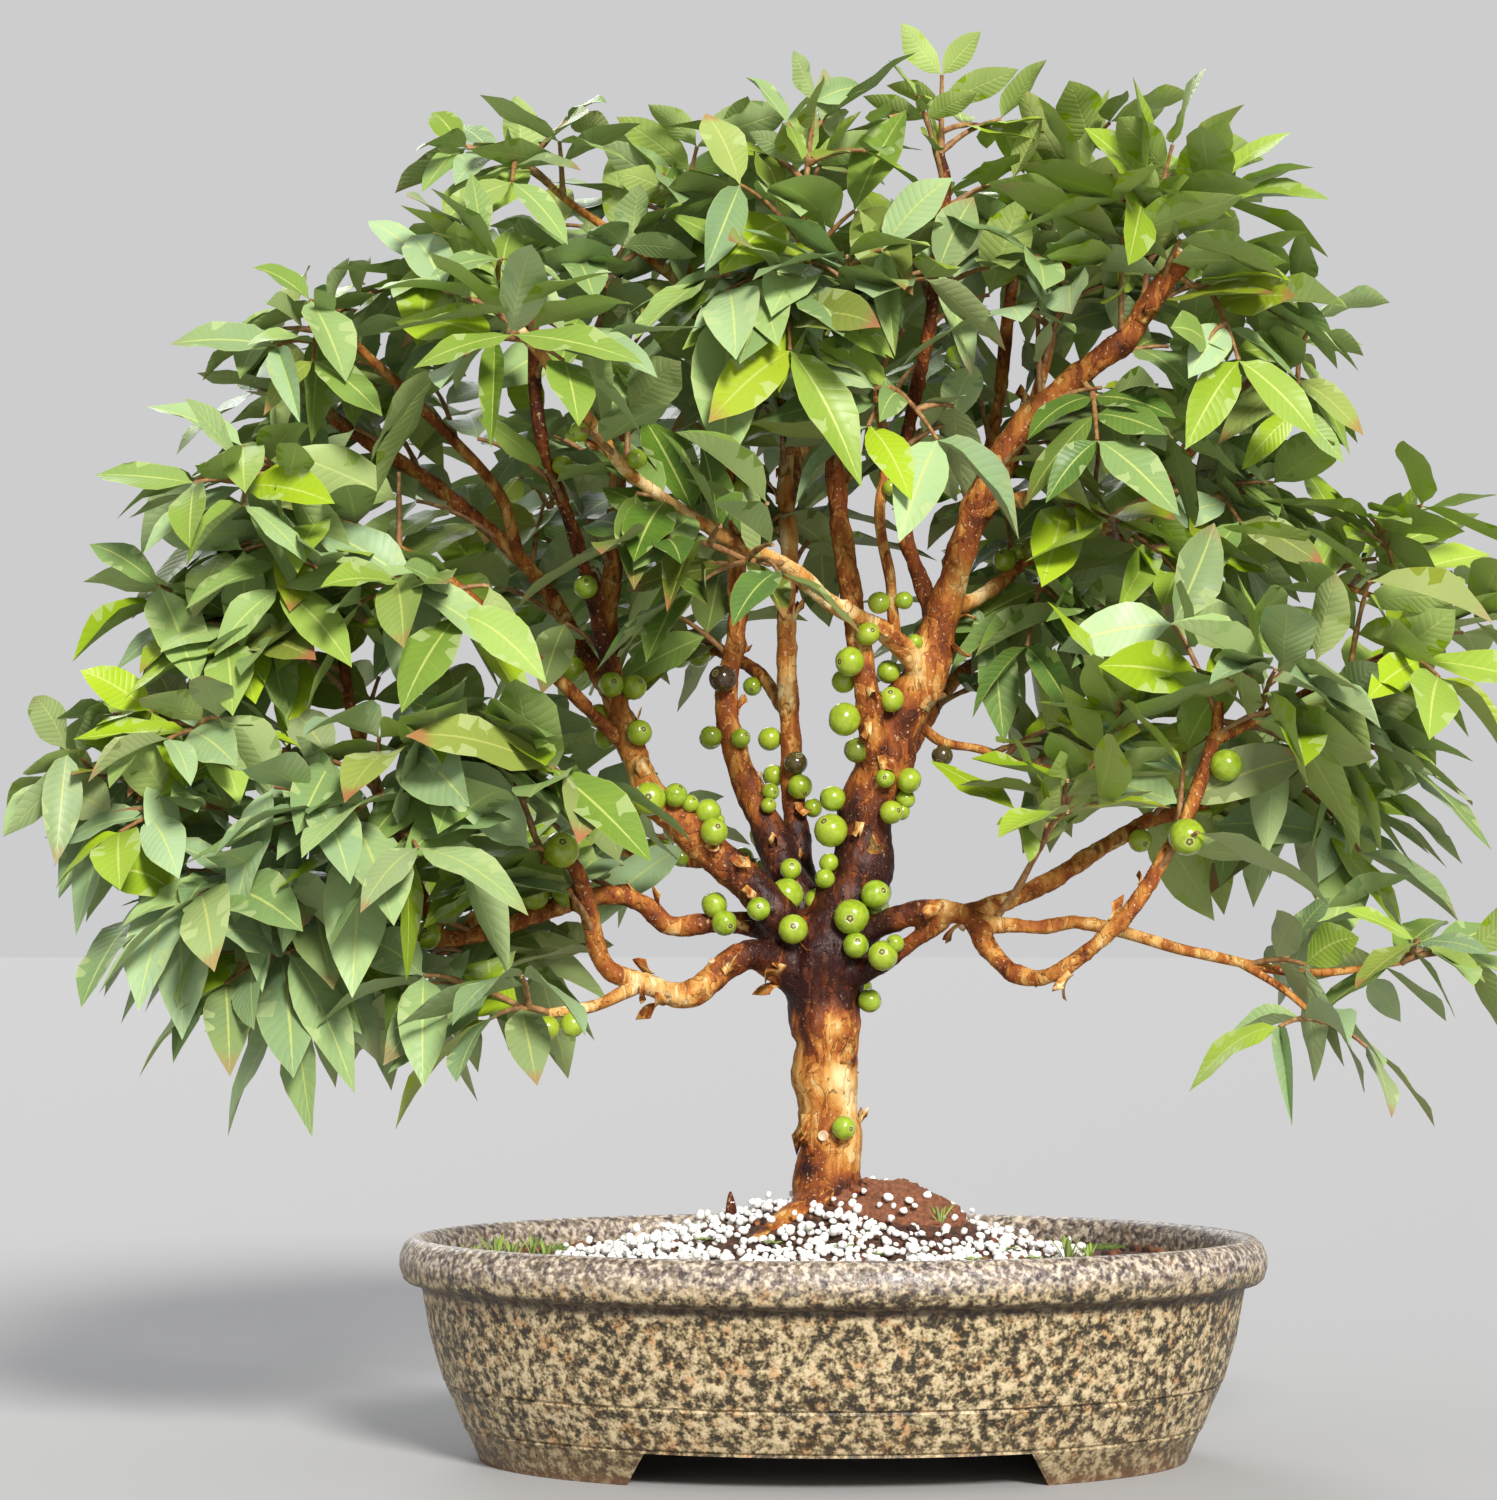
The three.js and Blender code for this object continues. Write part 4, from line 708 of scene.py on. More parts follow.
def makeBark():
    look = woodLook
    material, tree, shader = newMaterial("bark", Specular_IOR_Level=0.3)
    place = placeOf(tree)
    streaks = noise(tree, placeOf(tree, (1, 1, 0.3)), 110, 6, 0.7, 0.62)
    patches = noise(tree, placeOf(tree, (1, 1, 0.5)), 46, 4, 1.2)
    scales = noise(tree, placeOf(tree, (1, 1, 0.55)), 90, 5, 1.6, 0.5)
    specks = noise(tree, place, 560, 2)
    tone = attribute(tree, "tone")
    # the fork's painted shade is already in the tone; here the fork only loses lenticels and roughness
    wet = attribute(tree, "wet")
    peeled = between(tree, scales, 0.535, 0.565)
    swing = sums(tree, "MULTIPLY_ADD", patches, 1.3, -0.68)
    swing = sums(tree, "MULTIPLY_ADD", streaks, 0.8, sums(tree, "ADD", swing, -0.38))
    swing = sums(tree, "MULTIPLY_ADD", peeled, 0.15, swing)
    level = sums(tree, "ADD", tone, swing, clamp=True)
    colour = ramp(tree, level, *look["barkColours"])
    lenticels = sums(tree, "MULTIPLY_ADD", wet, -0.8, between(tree, specks, 0.63, 0.69), clamp=True)
    colour = tinted(tree, lenticels, 0.6, colour, look["lenticels"])
    grime = between(tree, noise(tree, place, 170, 6, 0.8), 0.62, 0.69)
    colour = tinted(tree, grime, 0.6, colour, look["grime"])
    rough = sums(tree, "MULTIPLY_ADD", wet, -0.28, look["dryness"])
    rough = sums(tree, "MULTIPLY_ADD", patches, 0.25, rough, clamp=True)
    wired(tree, shader, Base_Color=colour, Roughness=rough)
    relief = sums(tree, "MULTIPLY_ADD", peeled, -0.7, sums(tree, "MULTIPLY", streaks, 1.3))
    relief = sums(tree, "MULTIPLY_ADD", specks, 0.25, relief)
    relief = sums(tree, "MULTIPLY_ADD", grime, -0.5, relief)
    bumped(tree, shader, relief, 0.0014, 0.85)
    return material


def markCuts(mesh):  # end caps have more corners than the quads of the tube
    for face in mesh.polygons:
        face.material_index = int(len(face.vertices) > 4)


def makeWood():
    look = woodLook
    thick, thin = [], []
    for number, name in enumerate(limbs):
        places, radii = limbRoute(number, name)
        fat = np.flatnonzero(radii > look["thickFrom"])
        if len(fat) > look["shortest"]:
            end = fat[-1]
            thick.append((places[:end + 2], radii[:end + 2]))
            if end < len(places) - 3:
                thin.append((places[end - 2:], radii[end - 2:]))
        else:
            thin.append((places, radii))
    body = tubes(thick, look["sides"]["thick"])
    modify(body, "REMESH", mode="VOXEL", voxel_size=look["voxel"] * mm, use_smooth_shade=True)
    modify(body, "SMOOTH", factor=0.5, iterations=look["smoothing"])
    for size, height in look["lumps"]:
        lumpy(body, size, height * mm)
    twigs = tubes(thin, look["sides"]["thin"])
    markCuts(twigs.data)
    places, radii, headings = barkRoutes["armF"]
    sawn = [cutDisc(places[-1] + 0.5 * headings[-1], headings[-1], radii[-1] * 0.92)]
    for x, z, radius in look["scars"]:
        spot, _, side = seatFruit(x, z, 0)
        sawn.append(cutDisc(spot + 0.2 * side, side, radius))
    return body, twigs, joined(sawn)


def cutDisc(spot, facing, radius):  # the pale face of a sawn limb, ringed by a callus
    look = woodLook["disc"]
    turn = Vector(facing).to_track_quat("Z", "Y").to_euler()
    bpy.ops.mesh.primitive_cylinder_add(vertices=look["vertices"], radius=radius * mm,
                                        depth=look["thickness"] * mm, location=inScene(spot), rotation=turn)
    disc = bpy.context.object
    pick(disc, lambda middle: middle.z > mm)
    bpy.ops.mesh.inset(thickness=look["ring"] * radius * mm, depth=-look["sunk"] * mm)
    bpy.ops.object.mode_set(mode="OBJECT")
    bpy.ops.object.transform_apply(location=True, rotation=True, scale=True)
    return disc


def makeFlakes():
    look = flakeLook
    bpy.ops.mesh.primitive_grid_add(x_subdivisions=6, y_subdivisions=3, size=1)
    master = bpy.context.object
    modify(master, "SOLIDIFY", thickness=0.05, offset=0)
    shape = cornersOf(master.data)
    t, around, thickness = shape[:, 0] + 0.5, shape[:, 1], shape[:, 2] / 0.05 * look["thickness"] / 2
    seats = [(*seatFruit(x, z, 0), length, width, curl) for x, z, length, width, curl in look["seen"]]
    for index in range(look["more"]):
        name = look["limbs"][index % len(look["limbs"])]
        places, radii, _ = barkRoutes[name]
        spot = 2 + int(draw(index, 41) * (len(places) * 0.75))
        turn = draw(index, 42) * 2 * math.pi
        side = np.array([math.cos(turn), math.sin(turn), 0.0])
        length = varied(look["moreLength"], draw(index, 43))
        curl = varied(look["moreCurl"], draw(index, 44))
        seats.append((places[spot] + side * radii[spot], 0, side, length, length * look["moreWidth"], curl))
    copies = []
    for index, (place, _, side, length, width, curl) in enumerate(seats):
        nearest = int(np.argmin(np.linalg.norm(barkPlaces - place, axis=1)))
        heading = barkHeadings[nearest] * (1 if draw(index, 45) < 0.6 else -1)
        radius = max(barkRadii[nearest], 3)
        side = unit(side - heading * (side @ heading))
        across = np.cross(heading, side)
        ragged = 1 - 0.35 * t * (0.5 + np.sin(9 * around + index))
        angle = around * width / radius * ragged
        lift = length * curl * 0.42 * t ** 2.2 * (1 - 0.5 * around)
        along = length * (t - 0.18 * curl * t ** 3) * (0.85 + 0.3 * np.sin(7 * around + index))
        reach = radius + 0.25 + lift + thickness
        spots = (barkPlaces[nearest] + heading * along[:, None]
                 + (side * np.cos(angle)[:, None] + across * np.sin(angle)[:, None]) * reach[:, None])
        copies.append((spots, {}))
    flakes = strewn(master, copies)
    discard(master)
    x, _, z = cornersOf(flakes.data).T
    paint(flakes.data, tone=0.62 + 0.3 * np.sin(x * 900) * np.sin(z * 700), wet=0.0)
    return flakes


barkHeadings = np.vstack([route[2] for route in barkRoutes.values()])
bark = makeBark()
cutWood = grained("cutWood", **woodLook["cutSkin"])
trunkWood, twigWood, sawnFaces = makeWood()
for piece in (trunkWood, twigWood):
    paintBark(piece)
dress(trunkWood, "trunkWood", "bark", [bark], "trunk_and_branches")
dress(twigWood, "thinBranches", "bark", [bark, cutWood], "trunk_and_branches")
dress(sawnFaces, "sawnFaces", "bark", [cutWood], "trunk_and_branches")
dress(makeFlakes(), "barkFlakes", "bark", [bark], "trunk_and_branches")
print("wood:", len(trunkWood.data.polygons), "faces on the thick limbs")

# Fruit

fruitLook = {
    "segments": 16,
    "rings": 12,
    "dimple": 0.10,
    "calyxRim": 0.03,
    "skin": ((0.25, (0.17, 0.27, 0.010)), (0.5, (0.28, 0.40, 0.022)), (0.78, (0.42, 0.55, 0.065))),
    "sunny": (0.40, 0.47, 0.03),
    "ripe": (0.045, 0.012, 0.016),
    "dots": (0.50, 0.60, 0.12),
    "ring": (0.52, 0.55, 0.22),
    "scar": (0.10, 0.055, 0.02),
    "sight": 3.5,  # millimetres between a fruit and the place of a special one
    "behind": 30,  # fruit further back than this isn't special
    "special": {  # the fruit nearest to a place seen from the front, and its ripeness
        (55, 348): 0.9, (-55, 388): 0.95, (-18, 346): 0.9, (12, 351): 0.5, (103, 455): 0.45,
    },
}


def makeFruitSkin():
    look = fruitLook
    material, tree, shader = newMaterial("fruitSkin", Roughness=0.22, Coat_Weight=0.4,
                                         Coat_Roughness=0.12, Subsurface_Weight=0.12,
                                         Subsurface_Scale=0.002)
    shader.inputs["Subsurface Radius"].default_value = (0.6, 1.0, 0.25)
    place = placeOf(tree)
    mottle = noise(tree, place, 230, 4)
    colour = tinted(tree, attribute(tree, "hue"), 0.45, ramp(tree, mottle, *look["skin"]), look["sunny"])
    colour = mixed(tree, attribute(tree, "ripe"), colour, look["ripe"])
    dots = between(tree, noise(tree, place, 900, 1), 0.66, 0.72)
    colour = tinted(tree, dots, 0.35, colour, look["dots"])
    split = node(tree, "SeparateXYZ", {"Vector": node(tree, "UVMap").outputs["UV"]})
    star = sums(tree, "SINE", sums(tree, "MULTIPLY", split.outputs["X"], 10 * math.pi))
    edge = sums(tree, "MULTIPLY_ADD", star, -0.006, split.outputs["Y"])
    scar = band(tree, edge, (0.928, 0.94), (0.965, 0.985))
    ring = sums(tree, "MULTIPLY", between(tree, edge, 0.900, 0.915), inverse(tree, scar))
    colour = tinted(tree, ring, 0.5, colour, look["ring"])
    colour = tinted(tree, scar, 0.9, colour, look["scar"])
    wired(tree, shader, Base_Color=colour)
    bumped(tree, shader, sums(tree, "MULTIPLY_ADD", scar, -1.2, mottle), 0.0003, 0.5)
    return material


def makeFruit():
    look = fruitLook
    master, shape = added(bpy.ops.mesh.primitive_uv_sphere_add, segments=look["segments"],
                          ring_count=look["rings"], radius=1)
    height = shape[:, 2]
    shape = shape * (1 - look["dimple"] * np.exp(-((1 - height) / 0.035) ** 2))[:, None]
    rim = np.exp(-((height - 0.93) / 0.03) ** 2)
    shape = shape * (1 + look["calyxRim"] * rim)[:, None]
    bunches = sorted(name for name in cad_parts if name.startswith("fruit_bunch"))
    groups = {}
    for index, (place, radius, side) in enumerate(fruits):
        tilt = np.array([draw(index, 51) - 0.5, draw(index, 52) - 0.5, draw(index, 53) - 0.35])
        axis = unit(side + 0.9 * tilt)
        first = unit(np.cross(axis, up + 0.01))
        second = np.cross(axis, first)
        squash = 1 + 0.1 * (draw(index, 54) - 0.5)
        spots = place + radius * (shape[:, :1] * first + shape[:, 1:2] * second
                                  + shape[:, 2:] * axis * squash)
        ripe = 0.0
        for (x, z), value in look["special"].items():
            if math.hypot(place[0] - x, place[2] - z) < look["sight"] and place[1] < look["behind"]:
                ripe = value
        values = {"ripe": ripe, "hue": draw(index, 55)}
        groups.setdefault(bunchOf(place, radius, bunches), []).append((spots, values))
    pieces = {name: strewn(master, copies) for name, copies in groups.items()}
    discard(master)
    return pieces


def bunchOf(place, radius, bunches):  # the bunch whose box holds the middle of a fruit
    middle = inScene(place)
    for name in bunches:
        low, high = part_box(name)
        if radius >= fruitRule["solidFrom"] and all(low[i] < middle[i] < high[i] for i in range(3)):
            return name
    return "trunk_and_branches"


fruitSkin = makeFruitSkin()
for solid, piece in makeFruit().items():
    title = "loneFruit" if solid == "trunk_and_branches" else "fruitBunch" + solid[-2:]
    dress(piece, title, "fruit", [fruitSkin], solid)
print("fruit:", len(fruits))

# Leaves: the pairs of the solids first, then further pairs along every shoot

leafRule = {
    "forkShare": 0.22,
    "forkReach": 6,
    "bow": 0.32,
    "spacing": 0.16,  # how far up the first shoot the next ones grow
    "step": 17,  # millimetres from pair to pair
    "sideShoot": 40,
    "slenderness": 0.37,
    "turns": (0, 0.4, -0.4, 0.8, -0.8),  # radians; the turns about its stem that a pair may try
    "roll": 0.8,
    "pairTurn": 0.8,
    "spread": 0.95,  # radians between a leaf and its stem
    "endSpread": 0.68,
    "moreSpread": 0.28,
    "tilt": 0.6,
    "lengths": (0.78, 1.20),  # shares of the length and the droop of the spray
    "droops": (0.55, 1.45),
    "clear": {"bark": 3.2, "fruit": 2.2, "stem": 3.2, "own": 6.0, "other": 6.5},
    "clearExtra": {"bark": 1.5, "fruit": 1.2, "stem": 1.2, "own": 3.6, "other": 3.6},
    "extraFrom": 21,  # the number of the first further pair
    "extraPairs": 6,
    "extraStep": 17,
    "rootRoom": 3,  # millimetres of a shoot without leaves at its root
    "extraLength": 1.1,
    "extraDroop": 0.55,
    "crownMiddle": (-5, 40, 380),
    "lean": 0.6,
}
sideRule = {
    "twigFrom": 44,  # millimetres; shoots longer than this bear side twigs
    "twigRoom": 14,  # millimetres of the shoot past a twig
    "rootRoom": 8,
    "twigPlaces": (0.34, 0.6, 0.82),
    "twigTurn": (0.8, 1.3),
    "twigRise": 0.35,
    "twigLength": (20, 30),
    "shoots": {  # limb: shares along it between which short shoots grow, and how many
        "armA": (0.5, 1, 9), "armB": (0.55, 1, 3), "armC": (0.45, 1, 8), "armCUp": (0.2, 1, 5),
        "armCEnd": (0.2, 1, 3), "armD": (0.5, 1, 8), "armE": (0.5, 1, 7), "armF": (0.55, 0.95, 8),
        "armFPale": (0.3, 1, 8), "armFTwisty": (0.4, 1, 4), "armFDark": (0.35, 1, 7),
        "armFStraight": (0.2, 1, 7), "armFStub": (0.3, 0.9, 3), "armG": (0.45, 1, 7), "armI": (0.2, 1, 8),
        "armIEnd": (0.2, 1, 5), "armH": (0.7, 1, 4), "armHUpper": (0.2, 1, 3), "armHUp": (0.4, 1, 5),
        "armHLow": (0.6, 1, 3), "armS": (0.25, 1, 8), "armSTwig": (0.3, 1, 4), "armSRed": (0.5, 1, 4),
        "armSFront": (0.35, 1, 5), "armM": (0.4, 1, 4), "armDTwig": (0.2, 1, 4), "backLeft": (0.3, 1, 6),
        "backMid": (0.3, 1, 6), "backRight": (0.3, 1, 7), "backLow": (0.4, 1, 5),
    },
    "shootLength": (24, 50),
    "shown": {  # limb: the shares along it that stay open to view from the front
        "trunk": (0, 1), "armA": (0, 0.62), "armB": (0, 1), "armBSide": (0, 1), "armC": (0, 0.8),
        "armD": (0, 0.62), "armE": (0.1, 0.8), "armF": (0, 1), "armFPale": (0.08, 1),
        "armFTwisty": (0, 0.8), "armFDark": (0, 0.75), "armFStraight": (0.35, 0.8), "armG": (0, 0.55),
        "armH": (0, 1), "armHUp": (0, 0.7), "armHLow": (0, 1), "armS": (0.3, 1), "armSTwig": (0.2, 0.9),
        "armSRed": (0.1, 1), "armI": (0.5, 0.9), "armCUp": (0.2, 0.6), "armDTwig": (0.3, 0.8),
    },
    "viewGap": 5.0,
    "eye": (-42, -2000, 265.5),
}
leafLook = {
    "spans": (0, 0.06, 0.15, 0.27, 0.40, 0.53, 0.66, 0.78, 0.88, 0.95, 1),
    "widths": (0, 0.14, 0.55, 0.84, 0.98, 1.0, 0.89, 0.66, 0.38, 0.15, 0),
    "across": (-1, -0.52, 0, 0.52, 1, 0, -1),  # round the section: over the top and back below
    "lift": (0, 0.3, 0.42, 0.3, 0, -0.42, 0),  # millimetres
    "slender": 0.198,  # half of the width for a length of one
    "fold": 0.20,  # how steeply the halves rise from the rib
    "foldRange": (0.2, 1.9),
    "foldMore": 0.8,  # for rolled leaves, and for others by chance
    "foldChance": 0.05,
    "rolled": (116, 412, 24),  # place seen from the front, and reach
    "widthRange": (0.88, 1.12),
    "wave": 0.16,  # height of the waves of the margin, for a half width of one
    "waves": (7, 12),  # radians of them along the leaf
    "tipCurl": (0.45, 0.30),  # share along the leaf from which it curls, and how much
    "bend": 0.16,
    "stem": (1.6, 0.9),  # radius of a shoot at its root and its tip
    "slots": {"young": "young_leaf", "mid": "green_leaf", "mature": "mature_leaf", "dark": "dark_leaf"},
    "stemSkin": {"roughness": 0.55, "grain": (300, 4), "relief": (0.0004, 0.6),
                 "colours": ((0.3, (0.18, 0.070, 0.025)), (0.55, (0.33, 0.17, 0.06)),
                             (0.75, (0.48, 0.33, 0.14)))},
}
leafTones = {  # hue of a fresh leaf at 0 to a pale blue grey one at 1, which is partly its older colour and partly a painted sheen, and the depth of its green
    "young": (0.0, 0.15), "mid": (0.42, 0.40), "mature": (0.9, 0.36), "dark": (0.55, 0.85),
}


def limbRadiusAt(point):
    return barkRadii[int(np.argmin(((barkPlaces - point) ** 2).sum(axis=1)))]


def forkOf(root, tips):
    middle = tips.mean(axis=0)
    reach = max(leafRule["forkShare"] * np.linalg.norm(root - middle),
                leafRule["forkReach"] + limbRadiusAt(root))
    return root + unit(middle - root) * reach


def shootPoint(root, tip, t):
    point = root + (tip - root) * t
    point[2] += leafRule["bow"] * t * (1 - t) * np.linalg.norm(tip - root)
    return point


def makeShoots():  # for each spray: the fork, and the root and the tip of its shoots
    made = []
    for root, tips, *_ in sprays:
        ends = np.array(tips, float)
        fork = forkOf(np.array(root, float), ends)
        made.append([(shootPoint(fork, ends[0], shoot * leafRule["spacing"]), end)
                     for shoot, end in enumerate(ends)])
    return made


shoots = makeShoots()


def addSideShoots():  # twigs on the longer shoots, and short shoots straight from the limbs
    look = sideRule
    for s, spray in enumerate(shoots):
        for shoot, (root, tip) in enumerate(list(spray)):
            length = np.linalg.norm(tip - root)
            for place, t in enumerate(look["twigPlaces"]):
                if length < look["twigFrom"] or length * (1 - t) < look["twigRoom"]:
                    continue
                onward = unit(tip - root)
                flat = unit(np.cross(onward, up))
                turn = (1 if (place + s) % 2 else -1) * varied(look["twigTurn"], draw(s, shoot, place, 101))
                rise = look["twigRise"] * draw(s, shoot, place, 102)
                aim = onward * math.cos(turn) + flat * math.sin(turn) + up * rise
                start = shootPoint(root, tip, t)
                reach = varied(look["twigLength"], draw(s, shoot, place, 103))
                spray.append((start, start + unit(aim) * reach))
    roots = np.array([root for root, *_ in sprays], float)
    for number, (name, (first, last, count)) in enumerate(look["shoots"].items()):
        places, radii, headings = barkRoutes[name]
        for index in range(count):
            share = varied((first, last), (index + draw(number, index, 104)) / count)
            spot = min(int(share * len(places)), len(places) - 1)
            outward = unit(np.array([places[spot][0], places[spot][1], 0.0]) + 1e-6)
            turn = 2 * math.pi * draw(number, index, 105)
            aim = (0.5 * outward + 0.45 * headings[spot] + up * (0.1 + 0.5 * draw(number, index, 106))
                   + 0.9 * np.array([math.cos(turn), math.sin(turn), 0.0]))
            reach = radii[spot] + varied(look["shootLength"], draw(number, index, 107))
            nearest = int(np.argmin(np.linalg.norm(roots - places[spot], axis=1)))
            shoots[nearest].append((places[spot], places[spot] + unit(aim) * reach))


def makeLeaf(s, shoot, k, side, turn, back=None):  # a leaf on node k back from the tip of a shoot
    look = leafRule
    root, tip = shoots[s][shoot]
    length, droop = sprays[s][2], sprays[s][3]
    back = k * look["step"] if back is None else back
    t = 1 - back / np.linalg.norm(tip - root)
    stem = unit(shootPoint(root, tip, t + 0.05) - shootPoint(root, tip, t - 0.05))
    level = unit(np.cross(stem, up))
    roll = look["roll"] * (draw(s, shoot, k, 1) - 0.5) + (k % 2) * look["pairTurn"] + turn
    pairSide = level * math.cos(roll) + np.cross(level, stem) * math.sin(roll)
    spread = look["endSpread" if k == 0 else "spread"] + look["moreSpread"] * draw(s, shoot, k, 4 + side)
    heading = stem * math.cos(spread) + pairSide * side * math.sin(spread)
    across = unit(np.cross(heading, np.cross(pairSide, stem)))
    tilt = look["tilt"] * (draw(s, shoot, k, 16 + side) - 0.5)
    blade = across * math.cos(tilt) + np.cross(across, heading) * math.sin(tilt)
    length *= varied(look["lengths"], draw(s, shoot, k, 8 + side))
    droop *= varied(look["droops"], draw(s, shoot, k, 12 + side))
    if k >= look["extraFrom"]:  # a further leaf, whose face leans out to the light
        length *= look["extraLength"]
        droop *= look["extraDroop"]
        outward = unit(tip - np.array(look["crownMiddle"]))
        normal = np.cross(heading, blade)
        normal *= 1 if normal[2] > 0 else -1
        normal = unit(normal + look["lean"] * (outward - heading * (outward @ heading)))
        blade = np.cross(normal, heading)
    return {"base": shootPoint(root, tip, t), "heading": heading, "blade": blade, "length": length,
            "droop": droop, "halfWidth": length * look["slenderness"] / 2,
            "key": (s, shoot, k, side)}


def ribPoint(leaf, u):
    u = np.asarray(u, float)[..., None]
    return (leaf["base"] + leaf["heading"] * leaf["length"] * u
            - up * leaf["droop"] * leaf["length"] * u * u)


def leafMarks(leaf):  # the points that stand for a leaf when its clearance is judged
    edge = leaf["blade"] * leaf["halfWidth"] * 0.8
    middle = ribPoint(leaf, 0.5)
    return np.vstack([ribPoint(leaf, [0.3, 0.55, 0.8, 1]), middle - edge, middle + edge])


def shootMarks():
    marks = [shootPoint(root, tip, t) for spray in shoots for root, tip in spray
             for t in (0.2, 0.4, 0.6, 0.8, 1)]
    return np.array(marks)


def seenFrom(points):  # where points fall on the plane of the pot's middle, seen by the camera
    eye = np.array(sideRule["eye"])
    share = -eye[1] / (points[:, 1] - eye[1])
    return eye[[0, 2]] + (points[:, [0, 2]] - eye[[0, 2]]) * share[:, None]


def shownBark():
    found = [stations(limbs[name], 8) for name in sideRule["shown"]]
    spots, reach = [], []
    for (places, radii, _), (low, high) in zip(found, sideRule["shown"].values()):
        kept = slice(int(low * len(places)), int(high * len(places)) + 1)
        spots.append(places[kept])
        reach.append(radii[kept] + sideRule["viewGap"])
    spots, reach = np.vstack(spots), np.concatenate(reach)
    return seenFrom(spots), reach, spots[:, 1]


def placeLeaves():
    shownSpots, shownReach, shownDepth = shownBark()
    solidFruit = [fruit for fruit in fruits if fruit[1] >= fruitRule["solidFrom"]]
    fruitPlaces = np.array([fruit[0] for fruit in solidFruit])
    fruitRadii = np.array([fruit[1] for fruit in solidFruit])
    stems = shootMarks()
    still = np.vstack([barkPlaces, fruitPlaces, stems])
    placed, marks, owners = [], np.empty((0, 3)), np.empty(0, int)

    def isClear(leaf, s, gaps):
        points = leafMarks(leaf)
        reach = np.concatenate([barkRadii + gaps["bark"], fruitRadii + gaps["fruit"],
                                np.full(len(stems), gaps["stem"])])
        far = ((points[:, None] - still[None]) ** 2).sum(axis=2)
        if (far < reach ** 2).any():
            return False
        if gaps is leafRule["clearExtra"]:
            far = ((seenFrom(points)[:, None] - shownSpots[None]) ** 2).sum(axis=2)
            hides = (far < shownReach ** 2) & (points[:, 1:2] < shownDepth[None])
            if hides.any():
                return False
        far = ((points[:, None] - marks[None]) ** 2).sum(axis=2)
        return not (far < np.where(owners == s, gaps["own"], gaps["other"]) ** 2).any()

    def settle(s, shoot, k, sides, gaps, back=None):
        nonlocal marks, owners
        best = []
        for turn in leafRule["turns"]:
            tries = [makeLeaf(s, shoot, k, side, turn, back) for side in sides]
            tries = [leaf for leaf in tries if isClear(leaf, s, gaps)]
            if len(tries) > len(best):
                best = tries
        for leaf in best:
            points = leafMarks(leaf)
            placed.append(leaf)
            marks = np.vstack([marks, points])
            owners = np.concatenate([owners, np.full(len(points), s)])

    for s, spray in enumerate(shoots):
        for shoot, (root, tip) in enumerate(spray):
            settle(s, shoot, 0, (1, -1), leafRule["clear"])
            if shoot == 0 and np.linalg.norm(tip - root) > leafRule["sideShoot"]:
                settle(s, shoot, 2, (1 if s % 2 else -1,), leafRule["clear"])
    solidCount = len(placed)
    addSideShoots()
    for pair in range(leafRule["extraPairs"] + 1):
        for s, spray in enumerate(shoots):
            for shoot, (root, tip) in enumerate(spray):
                back = pair * leafRule["extraStep"]
                isNew = shoot >= len(sprays[s][1])
                room = (sideRule if isNew else leafRule)["rootRoom"]
                if back < np.linalg.norm(tip - root) - room and (pair or isNew):
                    settle(s, shoot, pair + leafRule["extraFrom"], (1, -1), leafRule["clearExtra"], back)
    return placed, solidCount


def leafMaster():
    look = leafLook
    spans, sides = len(look["spans"]) - 1, len(look["across"]) - 1
    master, grid = added(bpy.ops.mesh.primitive_grid_add, x_subdivisions=spans, y_subdivisions=sides,
                         size=1, calc_uvs=True)
    mesh = master.data
    along = np.rint((grid[:, 0] + 0.5) * spans).astype(int)
    around = np.rint((grid[:, 1] + 0.5) * sides).astype(int)
    width = np.array(look["widths"])[along]
    u = np.array(look["spans"])[along]
    w = np.array(look["across"])[around] * width
    h = np.array(look["lift"])[around] * width ** 0.5
    setCorners(mesh, np.column_stack([u, w, h]))
    corner = np.empty(len(mesh.loops), int)
    mesh.loops.foreach_get("vertex_index", corner)
    layer = np.column_stack([u[corner], around[corner] / sides])
    mesh.uv_layers[0].data.foreach_set("uv", layer.ravel())
    return welded(master, 1e-5)


def isRolled(leaf):  # the dark leaves that hang curled up right of the middle
    x, z, reach = leafLook["rolled"]
    return math.hypot(leaf["base"][0] - x, leaf["base"][2] - z) < reach


def bendLeaf(leaf, shape):  # corners of one leaf, folded, waved and curled along its rib
    look = leafLook
    s, shoot, k, side = leaf["key"]
    u, w, h = shape[:, 0] / (1 + 0.22 * leaf["droop"]), shape[:, 1], shape[:, 2]
    luck = np.random.default_rng((s, shoot, k, side + 1)).random(6)
    rib = ribPoint(leaf, u)
    slope = leaf["heading"] - up * (2 * leaf["droop"] * u)[:, None]
    along = slope / np.linalg.norm(slope, axis=1, keepdims=True)
    blade = leaf["blade"]
    if np.cross(leaf["heading"], blade)[2] < 0:
        blade = -blade
    normal = np.cross(along, blade)
    normal /= np.linalg.norm(normal, axis=1, keepdims=True)
    width = look["slender"] * varied(look["widthRange"], luck[0])
    half = leaf["length"] * (1 + 0.3 * leaf["droop"]) * width
    fold = look["fold"] * varied(look["foldRange"], luck[1])
    if luck[5] > 1 - look["foldChance"] or isRolled(leaf):
        fold += look["foldMore"]
    phase = u * varied(look["waves"], luck[2]) + 6 * luck[3] + (w > 0) * 1.3
    swing = look["wave"] * np.sin(phase) * half * w * w
    curlFrom, curlBy = look["tipCurl"]
    curl = (luck[4] - 0.35) * curlBy * leaf["length"] * np.maximum(u - curlFrom, 0) ** 2
    sideways = (luck[2] - 0.5) * look["bend"] * leaf["length"] * u * u
    reach = half * w
    lift = np.abs(reach) * math.sin(fold) + swing - curl + h
    return rib + blade * (reach * math.cos(fold) + sideways)[:, None] + normal * lift[:, None]


